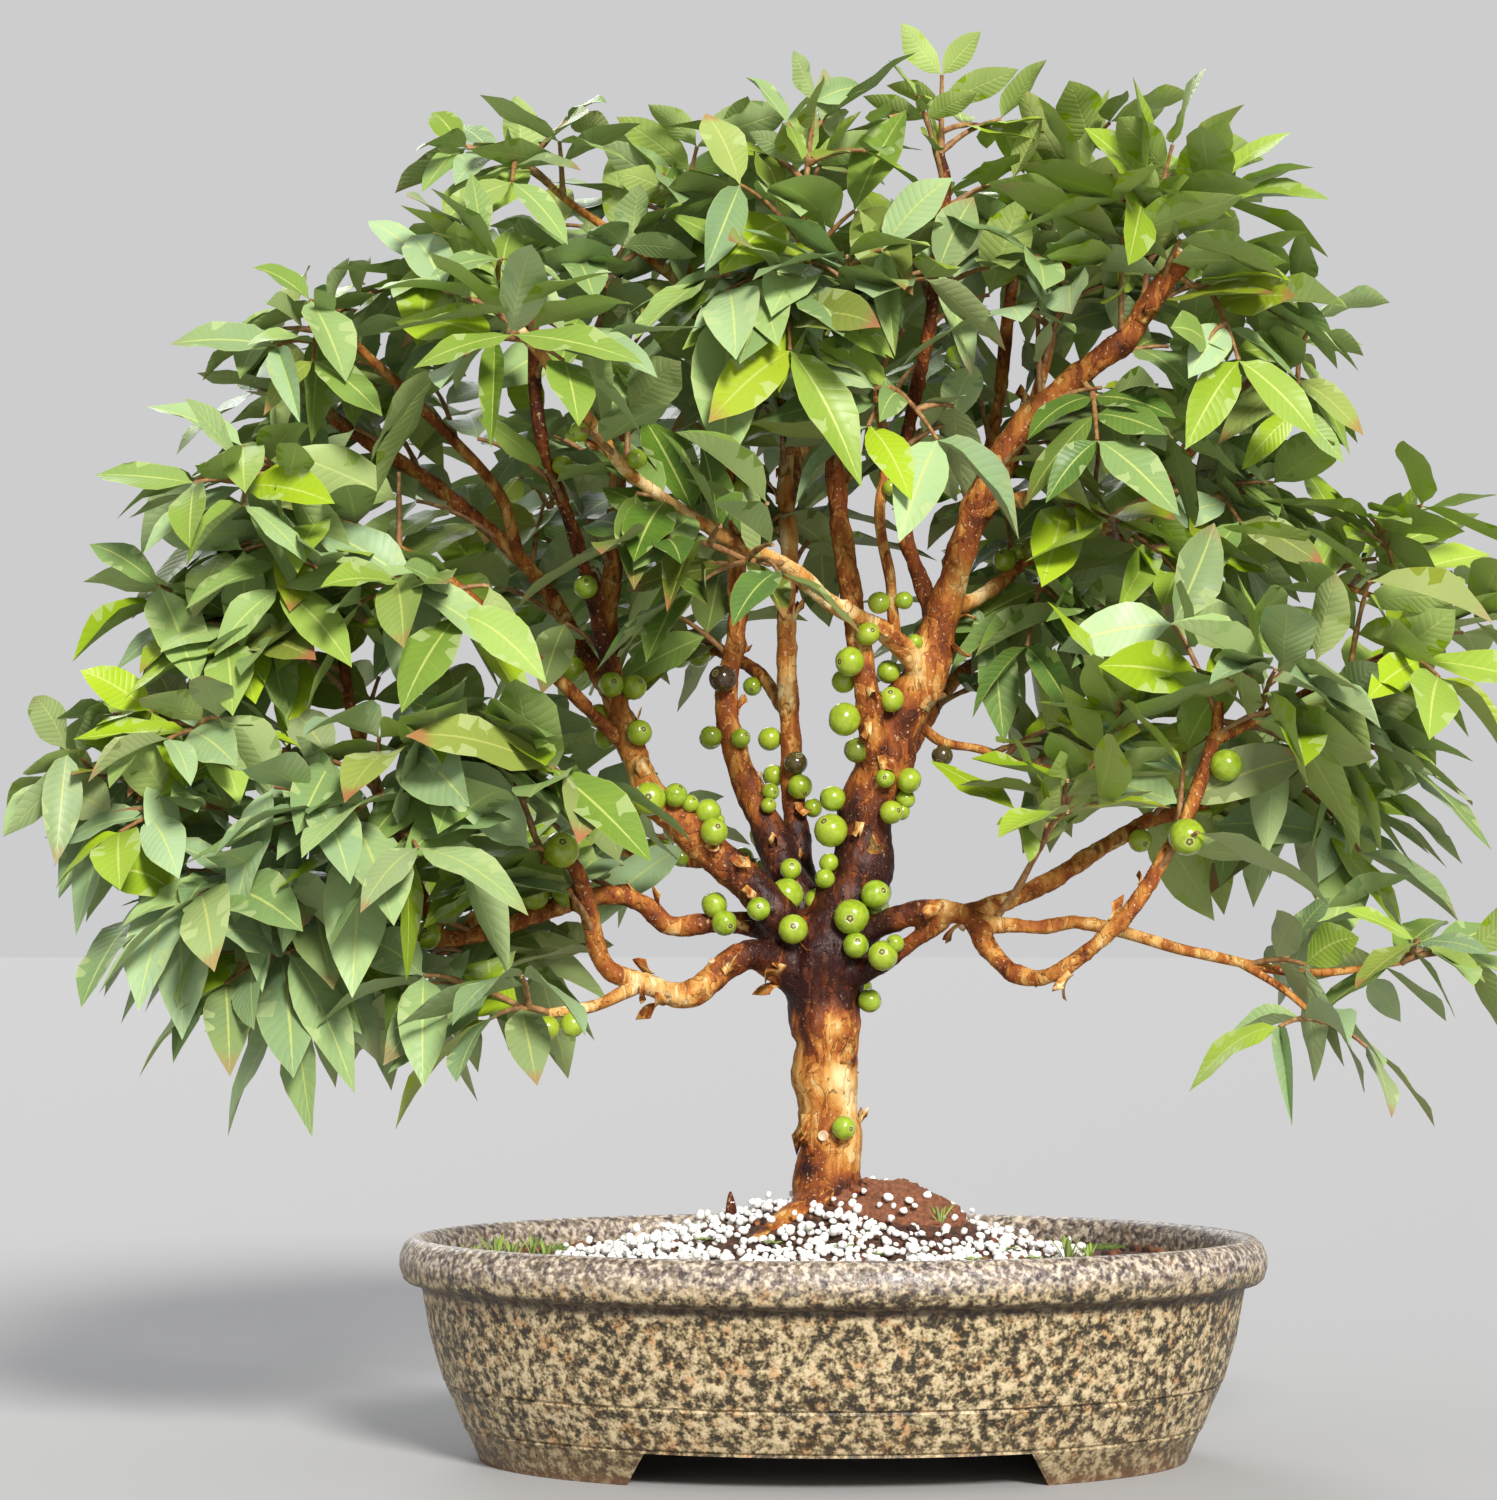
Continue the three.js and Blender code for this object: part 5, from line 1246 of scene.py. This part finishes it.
def shootRoutes(s):  # the stem of a spray from the bark and its shoots, a little knobbly at the nodes
    routes = []
    thick, thin = leafLook["stem"]
    for shoot, (root, tip) in enumerate(shoots[s]):
        t = np.linspace(0, 1, 13)
        places = np.array([shootPoint(root, tip, value) for value in t])
        back = (1 - t) * np.linalg.norm(tip - root)
        knobs = np.abs((back / leafRule["extraStep"] + 0.5) % 1 - 0.5) < 0.16
        radii = (thick + (thin - thick) * t) * (1 + 0.22 * knobs)
        if shoot == 0:
            start = np.array(sprays[s][0], float)
            lead = np.array([start + (places[0] - start) * share for share in (0, 0.33, 0.66)])
            places = np.vstack([lead, places])
            radii = np.concatenate([[thick * 1.15, thick * 1.05, thick], radii])
        routes.append((places, radii))
    return routes


def makeLeafSkin():
    material, tree, shader = newMaterial("leafSkin", Coat_Weight=0.05, Coat_Roughness=0.25,
                                         Specular_IOR_Level=0.28)
    split = node(tree, "SeparateXYZ", {"Vector": node(tree, "UVMap").outputs["UV"]})
    along, around = split.outputs["X"], split.outputs["Y"]
    under = between(tree, around, 0.664, 0.669)
    top = sums(tree, "ABSOLUTE", sums(tree, "MULTIPLY_ADD", around, 3, -1))
    below = sums(tree, "ABSOLUTE", sums(tree, "MULTIPLY_ADD", around, 6, -5))
    out = sums(tree, "ADD", sums(tree, "MULTIPLY", top, inverse(tree, under)),
               sums(tree, "MULTIPLY", below, under))
    hue, depth, dry = (attribute(tree, name) for name in ("hue", "depth", "dry"))
    place = placeOf(tree)
    patches = noise(tree, place, 60, 3)
    fresh = mixed(tree, depth, (0.33, 0.47, 0.018), (0.075, 0.155, 0.004))
    # the pale blue grey of older leaves: partly their own colour, partly a painted sheen
    oldWithSheen = mixed(tree, depth, (0.38, 0.52, 0.30), (0.060, 0.135, 0.038))
    colour = mixed(tree, hue, fresh, oldWithSheen)
    tint = sums(tree, "MULTIPLY_ADD", patches, 1.4, -0.45, clamp=True)
    colour = tinted(tree, tint, 0.35, colour, (0.28, 0.38, 0.02))
    slant = sums(tree, "MULTIPLY_ADD", out, -0.13, along)
    wave = sums(tree, "ABSOLUTE", sums(tree, "SINE", sums(tree, "MULTIPLY", slant, 13 * math.pi)))
    veins = inverse(tree, between(tree, wave, 0.0, 0.26))
    veins = sums(tree, "MULTIPLY", veins, between(tree, out, 1.0, 0.86))
    colour = tinted(tree, veins, 0.10, colour, (0.48, 0.58, 0.11))
    rib = inverse(tree, between(tree, out, 0.025, 0.07))
    colour = tinted(tree, rib, 0.6, colour, (0.56, 0.62, 0.17))
    colour = tinted(tree, between(tree, out, 0.93, 0.985), 0.22, colour, (0.48, 0.50, 0.12))
    colour = tinted(tree, dry, 0.4, colour, (0.22, 0.16, 0.03))
    tip = between(tree, sums(tree, "MULTIPLY_ADD", patches, 0.2, along), 0.90, 1.04)
    colour = tinted(tree, tip, dry, colour, (0.34, 0.14, 0.06))
    spots = between(tree, noise(tree, place, 330, 2), 0.70, 0.76)
    colour = tinted(tree, spots, 0.35, colour, (0.24, 0.17, 0.06))
    colour = mixed(tree, under, colour, mixed(tree, 0.5, colour, (0.42, 0.50, 0.22)))
    rough = sums(tree, "MULTIPLY_ADD", hue, 0.10, 0.30)
    rough = sums(tree, "MULTIPLY_ADD", under, 0.25, sums(tree, "MULTIPLY_ADD", patches, 0.12, rough))
    wired(tree, shader, Base_Color=colour, Roughness=rough)
    quilt = sums(tree, "MULTIPLY_ADD", rib, -0.8, sums(tree, "POWER", wave, 0.6))
    bumped(tree, shader, quilt, 0.0004, 0.35)
    return material


def makeSprays():
    master = leafMaster()
    shape = cornersOf(master.data)
    leaves, solidCount = placeLeaves()
    for s, (*_, tone) in enumerate(sprays):
        blades = []
        for leaf in leaves:
            if leaf["key"][0] != s:
                continue
            _, shoot, k, side = leaf["key"]
            luck = np.random.default_rng((s, shoot, k, side + 1, 9)).random(4)
            hue, depth = leafTones[tone]
            if tone == "mid" and luck[3] < 0.3:
                hue, depth = leafTones["mature"]
            elif tone in ("mid", "mature") and luck[3] > 0.82:
                hue, depth = leafTones["young"]
            if isRolled(leaf):
                hue, depth = leafTones["dark"]
            values = {"hue": min(max(hue + 0.5 * (luck[0] - 0.5), 0), 1),
                      "depth": min(max(depth + 0.7 * (luck[1] - 0.5), 0), 1),
                      "dry": max(luck[2] * 4 - 3, 0)}
            blades.append((bendLeaf(leaf, shape), values))
        foliage = strewn(master, blades)
        foliage.data.materials.clear()
        foliage.data.materials.append(leafSkin)
        stems = tubes(shootRoutes(s), 8)
        stems.data.materials.append(shootBark)
        spray = joined([foliage, stems])
        name = f"spray_{s + 1:02d}"
        dress(spray, f"leafySpray{s + 1:02d}", leafLook["slots"][tone], [], name)
        choose(spray)
        bpy.ops.object.shade_smooth_by_angle(angle=math.radians(50))
    discard(master)
    return len(leaves), solidCount


leafSkin = makeLeafSkin()
shootBark = grained("shootBark", **leafLook["stemSkin"])
print("leaves, and those of the solids:", *makeSprays())

# Pot

potLook = {
    "halfLength": 200,
    "halfDepth": 147,
    "inmost": -60,
    "steps": 160,
    "outline": [(-26, 1.2), (-25, 0), (-24.6, 0.2), (-18.6, 14), (-16.6, 16.6), (-17.2, 17.7),
                (-15.7, 18.8), (-12.6, 27), (-7.6, 37.4), (-8.2, 38.6), (-6.4, 39.8), (0.2, 62),
                (4.0, 84), (5.2, 86.3), (11.6, 88.2), (13.6, 90), (15.4, 96), (15.2, 101),
                (12.9, 106.4), (9.6, 109.2), (6.2, 109.8), (3.2, 108.6), (0.6, 105.4), (0, 101),
                (-0.2, 95), (-6, 88), (-22, 57), (-37, 28.5), (-40, 26)],
    "foot": {"inner": -50, "height": 16.5, "topHalf": 91, "bottomHalf": 100},
    "drainRadius": 9,
    "drainPlaces": (-75, 75),
    "glaze": ((0.36, (0.030, 0.024, 0.014)), (0.43, (0.10, 0.074, 0.038)), (0.50, (0.235, 0.175, 0.088)),
              (0.56, (0.42, 0.33, 0.185)), (0.68, (0.62, 0.50, 0.31))),
    # the speckled colours of the rim, paler in part as a painted highlight
    "rimSpecksAndHighlight": ((0.38, (0.055, 0.040, 0.042)), (0.50, (0.25, 0.20, 0.19)), (0.60, (0.70, 0.61, 0.50))),
}


def ovalSpots(offset, angle):  # points of the oval, moved out by an offset square to the wall
    c, s = np.cos(angle), np.sin(angle)
    normal = np.stack([c / potLook["halfLength"], s / potLook["halfDepth"]])
    normal = normal / np.hypot(*normal)
    return potLook["halfLength"] * c + offset * normal[0], potLook["halfDepth"] * s + offset * normal[1]


def pressOval(piece):  # a body turned round the upright axis, in metres, is pressed into the oval
    spots = cornersOf(piece.data) / mm
    reach = np.hypot(spots[:, 0], spots[:, 1])
    offset = np.maximum(reach - potLook["halfLength"], potLook["inmost"])
    share = np.minimum(1, reach / (potLook["halfLength"] + potLook["inmost"]))
    x, y = ovalSpots(offset, np.arctan2(spots[:, 1], spots[:, 0]))
    return np.column_stack([x * share, y * share, spots[:, 2]])


def turned(outline, steps):  # an outline of offsets and heights spun round the upright axis
    bpy.ops.mesh.primitive_plane_add(size=1)
    piece = bpy.context.object
    bpy.ops.object.mode_set(mode="EDIT")
    bpy.ops.mesh.delete(type="VERT")
    bpy.ops.object.mode_set(mode="OBJECT")
    corners = [((potLook["halfLength"] + offset) * mm, 0, height * mm) for offset, height in outline]
    piece.data.from_pydata(corners, [(i, i + 1) for i in range(len(corners) - 1)], [])
    choose(piece)
    bpy.ops.object.mode_set(mode="EDIT")
    bpy.ops.mesh.select_all(action="SELECT")
    bpy.ops.mesh.spin(steps=steps, angle=2 * math.pi, center=(0, 0, 0), axis=(0, 0, 1))
    bpy.ops.object.mode_set(mode="OBJECT")
    return welded(piece, 1e-6)


def cutAway(piece, tool):
    modify(piece, "BOOLEAN", object=tool, operation="DIFFERENCE", solver="EXACT")
    discard(tool)


def makePot():
    look = potLook
    foot = look["foot"]
    axis = -look["halfLength"]
    outline = [(axis, foot["height"]), (foot["inner"] - 40, foot["height"]),
               (foot["inner"] - 1, foot["height"]), (foot["inner"], foot["height"] - 1),
               (foot["inner"], 1), (foot["inner"] + 1, 0)] + look["outline"][1:]
    outline += [(-60, 26), (-100, 26), (axis, 26)]
    pot = turned(outline, look["steps"])
    setCorners(pot.data, pressOval(pot) * mm)
    passage, box = added(bpy.ops.mesh.primitive_cube_add, size=2)
    isLow = box[:, 2] < 0
    x = box[:, 0] * np.where(isLow, foot["bottomHalf"], foot["topHalf"])
    z = np.where(isLow, -1, foot["height"])
    setCorners(passage.data, np.column_stack([x, box[:, 1] * 400, z]) * mm)
    cutAway(pot, passage)
    for x in look["drainPlaces"]:
        drill, _ = added(bpy.ops.mesh.primitive_cylinder_add, vertices=32, depth=0.1,
                         radius=look["drainRadius"] * mm, location=(x * mm, 0, 0.02))
        bpy.ops.object.transform_apply(location=True)
        cutAway(pot, drill)
    setCorners(pot.data, cornersOf(pot.data) + potMiddle)
    return pot


def makeGlaze():
    look = potLook
    material, tree, shader = newMaterial("stoneware")
    place = placeOf(tree)
    clumps = noise(tree, place, 215, 2, 0.12, 0.55)
    broad = noise(tree, place, 26, 3)
    fine = noise(tree, place, 680, 3)
    level = sums(tree, "MULTIPLY_ADD", broad, 0.18, sums(tree, "MULTIPLY_ADD", fine, 0.55, -0.365))
    level = sums(tree, "ADD", level, clumps, clamp=True)
    colour = ramp(tree, level, *look["glaze"])
    tints = noise(tree, place, 120, 2)
    colour = mixed(tree, between(tree, tints, 0.50, 0.72), colour, (0.44, 0.33, 0.25), "OVERLAY")
    high = node(tree, "SeparateXYZ", {"Vector": node(tree, "TexCoord").outputs["Object"]}).outputs["Z"]
    # the rim is paler: partly its speckled glaze, partly a painted highlight
    rim = between(tree, high, 0.090, 0.103)
    specks = ramp(tree, noise(tree, place, 330, 3), *look["rimSpecksAndHighlight"])
    colour = tinted(tree, rim, 0.7, colour, specks)
    # painted shade: a dark band under the overhang of the rim
    underRimShade = band(tree, high, (0.081, 0.0855), (0.0885, 0.0915))
    colour = tinted(tree, underRimShade, 0.72, colour, (0.028, 0.014, 0.010))
    # painted shade: the wall darker towards the bottom
    lowShade = inverse(tree, between(tree, high, 0.006, 0.030))
    colour = tinted(tree, lowShade, 0.45, colour, (0.14, 0.085, 0.038))
    foot = between(tree, sums(tree, "MULTIPLY_ADD", clumps, 0.012, high), 0.006, 0.013)
    colour = tinted(tree, inverse(tree, foot), 0.6, colour, (0.15, 0.065, 0.030))
    rough = sums(tree, "MULTIPLY_ADD", clumps, 0.5, sums(tree, "MULTIPLY_ADD", rim, -0.12, 0.28))
    wired(tree, shader, Base_Color=colour, Roughness=rough)
    bumped(tree, shader, sums(tree, "MULTIPLY_ADD", fine, 0.5, clumps), 0.0009, 0.7)
    return material


stoneware = makeGlaze()
dress(makePot(), "ovalPot", "stoneware", [stoneware], "pot")
bpy.ops.object.shade_smooth_by_angle(angle=math.radians(32))
print("pot")

# Soil, granules and what grows on it

soilLook = {
    "edge": 97, "rise": 31, "moundLength": 105, "moundDepth": 78,
    "steps": 150,
    "rings": 44,
    "wallTop": -6.45,
    "wallFoot": -38.45,
    "floor": 26.3,
    "shoulder": (42, -4, 30, 26, 7),  # middle, reaches and height of the rise right of the trunk
    "ripples": (11, 9, 0.9),
    "lumps": (0.006, 0.0022),  # size and height in metres
    "wallGap": -12.0,
    "crumbs": 520,
    "crumbRadius": (0.8, 2.4),
    "crumbStretch": (0.8, 1.7),
    "crumbBumps": (0.75, 1.25),
    "crumbHeap": (48, -30, 26),  # where crumbs are larger
    "skin": ((0.32, (0.018, 0.009, 0.006)), (0.52, (0.075, 0.030, 0.016)), (0.66, (0.20, 0.075, 0.035)),
             (0.80, (0.33, 0.17, 0.09))),
    "crumbSkin": {"roughness": 0.88, "grain": (420, 5), "relief": (0.0007, 0.8), "tone": (0.6, 0.7, -0.15),
                  "colours": ((0.2, (0.03, 0.012, 0.008)), (0.55, (0.13, 0.045, 0.022)),
                              (0.85, (0.34, 0.13, 0.06)))},
}
prillLook = {
    "middle": (-12, -22), "halfLength": 126, "halfDepth": 96,
    "darts": 6500,
    "spacing": 3.3,
    "radius": (1.35, 2.7),
    "bumps": (0.84, 1.16),
    "squash": ((1, 1), (0.85, 1.15), (0.75, 1.05)),
    "gaps": [(44, -18, 34, 24, 0.9), (-30, -36, 26, 9, 0.75), (20, -60, 16, 8, 0.5),
             (-62, -44, 12, 7, 0.5), (84, -58, 14, 8, 0.4), (-88, -30, 14, 8, 0.4), (-18, 34, 30, 18, 0.6)],
    "thinFrom": 0.78,  # share of the way to the edge of the heap from which it thins out
    "heap": 3.4,  # millimetres between the layers
    "pile": (-16, -46, 34, 20, 1.3),  # middle, reaches and further layers of the thickest part
    "woodGap": 1.0,
    "skin": {"roughness": 0.75, "grain": (520, 5, 0.2, 0.65), "relief": (0.0006, 0.7),
             "tone": (0.8, 0.3, 0.05), "colours": ((0.28, (0.55, 0.49, 0.42)), (0.45, (0.82, 0.80, 0.75)),
                                                   (0.7, (0.95, 0.95, 0.93)))},
}
stubLook = {
    "place": (-51, -6),
    "stations": [(0, -6, 2.6), (0, 0, 2.9), (0.4, 4, 2.8), (0.2, 8, 2.1), (0, 11, 1.3), (0, 13, 0.5)],
}
moundLook = {"middle": (32, -14), "reach": (33, 21), "height": 7.5, "sunk": 5, "lumps": 9.0,
             "layers": ((0.011, 1.0), (0.0035, 0.5)), "tone": 0.7}
weedLook = {
    "tufts": [  # place, blades and height; the first is the tuft of the solids
        (-158, -22, 9, 16), (-141, -40, 8, 17), (-168, -2, 8, 18), (52, -30, 8, 15), (113, -50, 9, 20),
        (124, -40, 7, 14), (-180, -20, 8, 15), (-150, 10, 8, 16), (40, 20, 7, 14)],
    "blade": {"rise": -1.0, "droop": 0.25, "halfWidth": 1.0},
    "round": {"rise": 2.0, "length": 6.5, "droop": 0.2, "halfWidth": 2.4},
    "sprouts": [(66, -72, 5), (-31, -58, 5), (96, -60, 4), (-112, -56, 4), (22, -74, 5), (-64, -40, 4),
                (4, -66, 4), (84, -44, 4)],
}
mossLook = {
    "patches": [(-182, -18, 9), (-176, 12, 11), (-186, 2, 7), (174, -26, 11), (180, -6, 8),
                (160, -54, 9), (-158, -50, 8), (-140, 60, 12), (60, 118, 14), (140, 66, 12)],
    "height": 2.2,
    "fluff": (0.0022, 0.0035),  # size and height in metres
    "skin": {"roughness": 0.95, "grain": (620, 4), "relief": (0.0014, 1.0),
             "colours": ((0.3, (0.035, 0.06, 0.012)), (0.55, (0.14, 0.22, 0.035)),
                         (0.78, (0.36, 0.44, 0.09)))},
}


def soilTop(x, y):
    look = soilLook
    spread = (x / look["moundLength"]) ** 2 + (y / look["moundDepth"]) ** 2
    hill = look["rise"] * np.exp(-1.6 * spread)
    middleX, middleY, wide, deep, height = look["shoulder"]
    shoulder = height * np.exp(-(((x - middleX) / wide) ** 2 + ((y - middleY) / deep) ** 2))
    rippleX, rippleY, ripple = look["ripples"]
    return look["edge"] + hill + shoulder + ripple * np.sin(x / rippleX) * np.cos(y / rippleY)


def makeSoil():
    look = soilLook
    axis = -potLook["halfLength"]
    edge = look["wallTop"]
    tops = [(axis + (edge - axis) * share, look["edge"]) for share in np.linspace(1, 0, look["rings"])]
    outline = [(axis, look["floor"]), (-60, look["floor"]), (look["wallFoot"], look["floor"]), (edge, 88),
               *tops]
    soil = turned(outline, look["steps"])
    spots = pressOval(soil)
    top = spots[:, 2] > look["edge"] - 1
    spots[top, 2] = soilTop(spots[top, 0], spots[top, 1])
    setCorners(soil.data, inScene(spots))
    lumpy(soil, *look["lumps"], depth=3, mid_level=0.55, direction="Z")
    return soil


def scatter(count, seed):  # random places on the soil inside the wall
    found = []
    for index in range(count):
        angle = 2 * math.pi * shuffled(index, seed)
        share = math.sqrt(shuffled(index, seed + 1))
        x, y = ovalSpots(np.array(soilLook["wallGap"]), np.array(angle))
        found.append(np.array([float(x) * share, float(y) * share]))
    return found


def bumpy(shape, bounds, index, seed):  # the corners of a round body, each moved in or out
    return shape * np.array([[varied(bounds, draw(index, seed, corner))] for corner in range(len(shape))])


def clearOfWood(spots, gap):
    low = barkPlaces[:, 2] < 150
    far = np.hypot(*(spots[:, None] - barkPlaces[None, low, :2]).transpose(2, 0, 1))
    return (far > barkRadii[low] * 0.8 + gap).all(axis=1)


def makeCrumbs():
    look = soilLook
    master, shape = added(bpy.ops.mesh.primitive_ico_sphere_add, subdivisions=1, radius=1)
    heapX, heapY, reach = look["crumbHeap"]
    copies = []
    for index, (x, y) in enumerate(scatter(look["crumbs"], 7)):
        heap = math.exp(-(((x - heapX) / reach) ** 2 + ((y - heapY) / reach) ** 2))
        size = varied(look["crumbRadius"], draw(index, 72)) * (1 + 0.8 * heap)
        stretch = [varied(look["crumbStretch"], draw(index, seed)) for seed in (73, 74, 75)]
        spot = np.array([x, y, float(soilTop(x, y)) + 0.25 * size])
        points = spot + bumpy(shape, look["crumbBumps"], index, 76) * stretch * size
        copies.append((points, {"tone": draw(index, 77)}))
    crumbs = strewn(master, copies)
    discard(master)
    return crumbs


def prillGround(x, y):  # the soil, or the mound where it is higher
    look = moundLook
    far = sum(((value - middle) / reach) ** 2
              for value, middle, reach in zip((x, y), look["middle"], look["reach"]))
    return float(soilTop(x, y)) + look["height"] * math.sqrt(max(1 - far, 0))


def makePrills():
    look = prillLook
    master, shape = added(bpy.ops.mesh.primitive_uv_sphere_add, segments=8, ring_count=6, radius=1)
    spots = np.empty((0, 2))
    for dart in range(look["darts"]):
        angle, share = 2 * math.pi * shuffled(dart, 81), math.sqrt(shuffled(dart, 82))
        edge = 1 + 0.07 * math.sin(3 * angle + 1) + 0.05 * math.sin(7 * angle)
        x = look["middle"][0] + look["halfLength"] * share * edge * math.cos(angle)
        y = look["middle"][1] + look["halfDepth"] * share * edge * math.sin(angle)
        bare = 0.85 * max(share - look["thinFrom"], 0) / (1 - look["thinFrom"])
        for gapX, gapY, wide, tall, lack in look["gaps"]:
            bare += lack * (math.hypot((x - gapX) / wide, (y - gapY) / tall) < 1)
        near = np.hypot(spots[:, 0] - x, spots[:, 1] - y) < look["spacing"]
        if shuffled(dart, 83) > bare and not near.any():
            spots = np.vstack([spots, (x, y)])
    pileX, pileY, wide, deep, further = look["pile"]
    copies = []
    for index, (x, y) in enumerate(spots[clearOfWood(spots, look["woodGap"])]):
        radius = varied(look["radius"], shuffled(index, 84) ** 1.4)
        pile = math.exp(-((x - pileX) / wide) ** 2 - ((y - pileY) / deep) ** 2)
        chance = shuffled(index, 85)
        layer = int(chance < 0.3) + int(chance < 0.08) + further * pile
        height = prillGround(x, y) + radius * 0.5 + look["heap"] * layer * shuffled(index, 86)
        squash = [varied(bounds, draw(index, 87 + axis)) for axis, bounds in enumerate(look["squash"])]
        points = np.array([x, y, height]) + bumpy(shape, look["bumps"], index, 87) * radius * squash
        copies.append((points, {"tone": draw(index, 90)}))
    prills = strewn(master, copies)
    discard(master)
    return prills


def makeMound():  # rough old bark and soil heaped over the root right of the trunk
    look = moundLook
    mound, shape = added(bpy.ops.mesh.primitive_ico_sphere_add, subdivisions=6, radius=1)
    x = look["middle"][0] + look["reach"][0] * shape[:, 0]
    y = look["middle"][1] + look["reach"][1] * shape[:, 1]
    height = np.where(shape[:, 2] > 0, look["height"], look["sunk"]) * shape[:, 2]
    setCorners(mound.data, inScene(np.column_stack([x, y, soilTop(x, y) + height])))
    for size, share in look["layers"]:
        lumpy(mound, size, look["lumps"] * share * mm, depth=4)
    paint(mound.data, tone=look["tone"])
    return mound


def makeStub():
    x, y = stubLook["place"]
    foot = float(soilTop(x, y))
    places = np.array([(x + aside, y, foot + rise) for aside, rise, _ in stubLook["stations"]])
    return tubes([(places, np.array([radius for _, _, radius in stubLook["stations"]]))], 12)


def makeBlade(base, heading, length, droop, halfWidth, key):
    level = unit(np.cross(heading, up + 0.001))
    return {"base": base, "heading": unit(heading), "blade": level, "length": length, "droop": droop,
            "halfWidth": halfWidth, "key": key}


def makeWeeds():  # grassy tufts and small round sprouts
    master = leafMaster()
    shape = cornersOf(master.data)
    grass = shape * np.array([1, 0.3, 0.6])
    tufts, others = [], []
    look = weedLook["blade"]
    for index, (x, y, count, height) in enumerate(weedLook["tufts"]):
        foot = np.array([x, y, float(soilTop(x, y)) + look["rise"]])
        for blade in range(count):
            angle = (blade + draw(index, blade, 8)) / count * 2 * math.pi
            lean = 0.1 + 0.55 * draw(index, blade, 9)
            heading = np.array([math.cos(angle) * lean, math.sin(angle) * lean, 1.0])
            leaf = makeBlade(foot, heading, height * (0.8 + 0.5 * draw(index, blade, 10)), look["droop"],
                             look["halfWidth"], (index, blade, 3, 1))
            values = {"hue": 0.2, "depth": 0.2 + 0.3 * draw(index, blade, 11), "dry": 0.0}
            (tufts if index == 0 else others).append((bendLeaf(leaf, grass), values))
    look = weedLook["round"]
    for index, (x, y, count) in enumerate(weedLook["sprouts"]):
        foot = np.array([x, y, float(soilTop(x, y)) + look["rise"]])
        for blade in range(count):
            angle = (blade + 0.5 * draw(index, blade, 12)) / count * 2 * math.pi
            heading = np.array([math.cos(angle), math.sin(angle), 0.45])
            leaf = makeBlade(foot, heading, look["length"], look["droop"], look["halfWidth"],
                             (index, blade, 5, 1))
            others.append((bendLeaf(leaf, shape), {"hue": 0.25, "depth": 0.45, "dry": 0.0}))
    pieces = strewn(master, tufts), strewn(master, others)
    discard(master)
    return pieces


def makeMoss():
    look = mossLook
    master, shape = added(bpy.ops.mesh.primitive_ico_sphere_add, subdivisions=4, radius=1)
    copies = []
    for index, (x, y, size) in enumerate(look["patches"]):
        spotX, spotY = x + shape[:, 0] * size, y + shape[:, 1] * (size * 0.75)
        height = soilTop(spotX, spotY) + look["height"] * shape[:, 2]
        copies.append((np.column_stack([spotX, spotY, height]), {}))
    moss = strewn(master, copies)
    discard(master)
    lumpy(moss, *look["fluff"], depth=3, mid_level=0.45)
    return moss


def makeGround():
    material, tree, shader = newMaterial("darkSoil", Roughness=0.9)
    place = placeOf(tree)
    grain = noise(tree, place, 330, 6, 0.3, 0.7)
    broad = noise(tree, place, 60, 3)
    level = sums(tree, "MULTIPLY_ADD", broad, 0.4, sums(tree, "ADD", grain, -0.2), clamp=True)
    wired(tree, shader, Base_Color=ramp(tree, level, *soilLook["skin"]))
    bumped(tree, shader, grain, 0.0015, 0.9)
    return material


crumbSkin = grained("crumbs", **soilLook["crumbSkin"])
prillSkin = grained("whiteGranules", **prillLook["skin"])
mossSkin = grained("mossGreen", **mossLook["skin"])
dress(makeSoil(), "soilBody", "soil", [makeGround()], "soil")
dress(makeCrumbs(), "soilCrumbs", "soil", [crumbSkin], "soil")
prills = dress(makePrills(), "prillHeap", "prills", [prillSkin], "prill_layer")
dress(makeMound(), "barkMound", "soil", [crumbSkin], "soil")
dress(makeStub(), "soilStub", "dry_stub", [bark], "soil_stub")
tuft, otherWeeds = makeWeeds()
dress(tuft, "weedTuft", "weed", [leafSkin], "weed_tuft")
dress(otherWeeds, "smallWeeds", "weed", [leafSkin], "soil")
dress(makeMoss(), "mossPatches", "weed", [mossSkin], "soil")
print("soil:", len(prills.data.polygons) // 48, "granules")
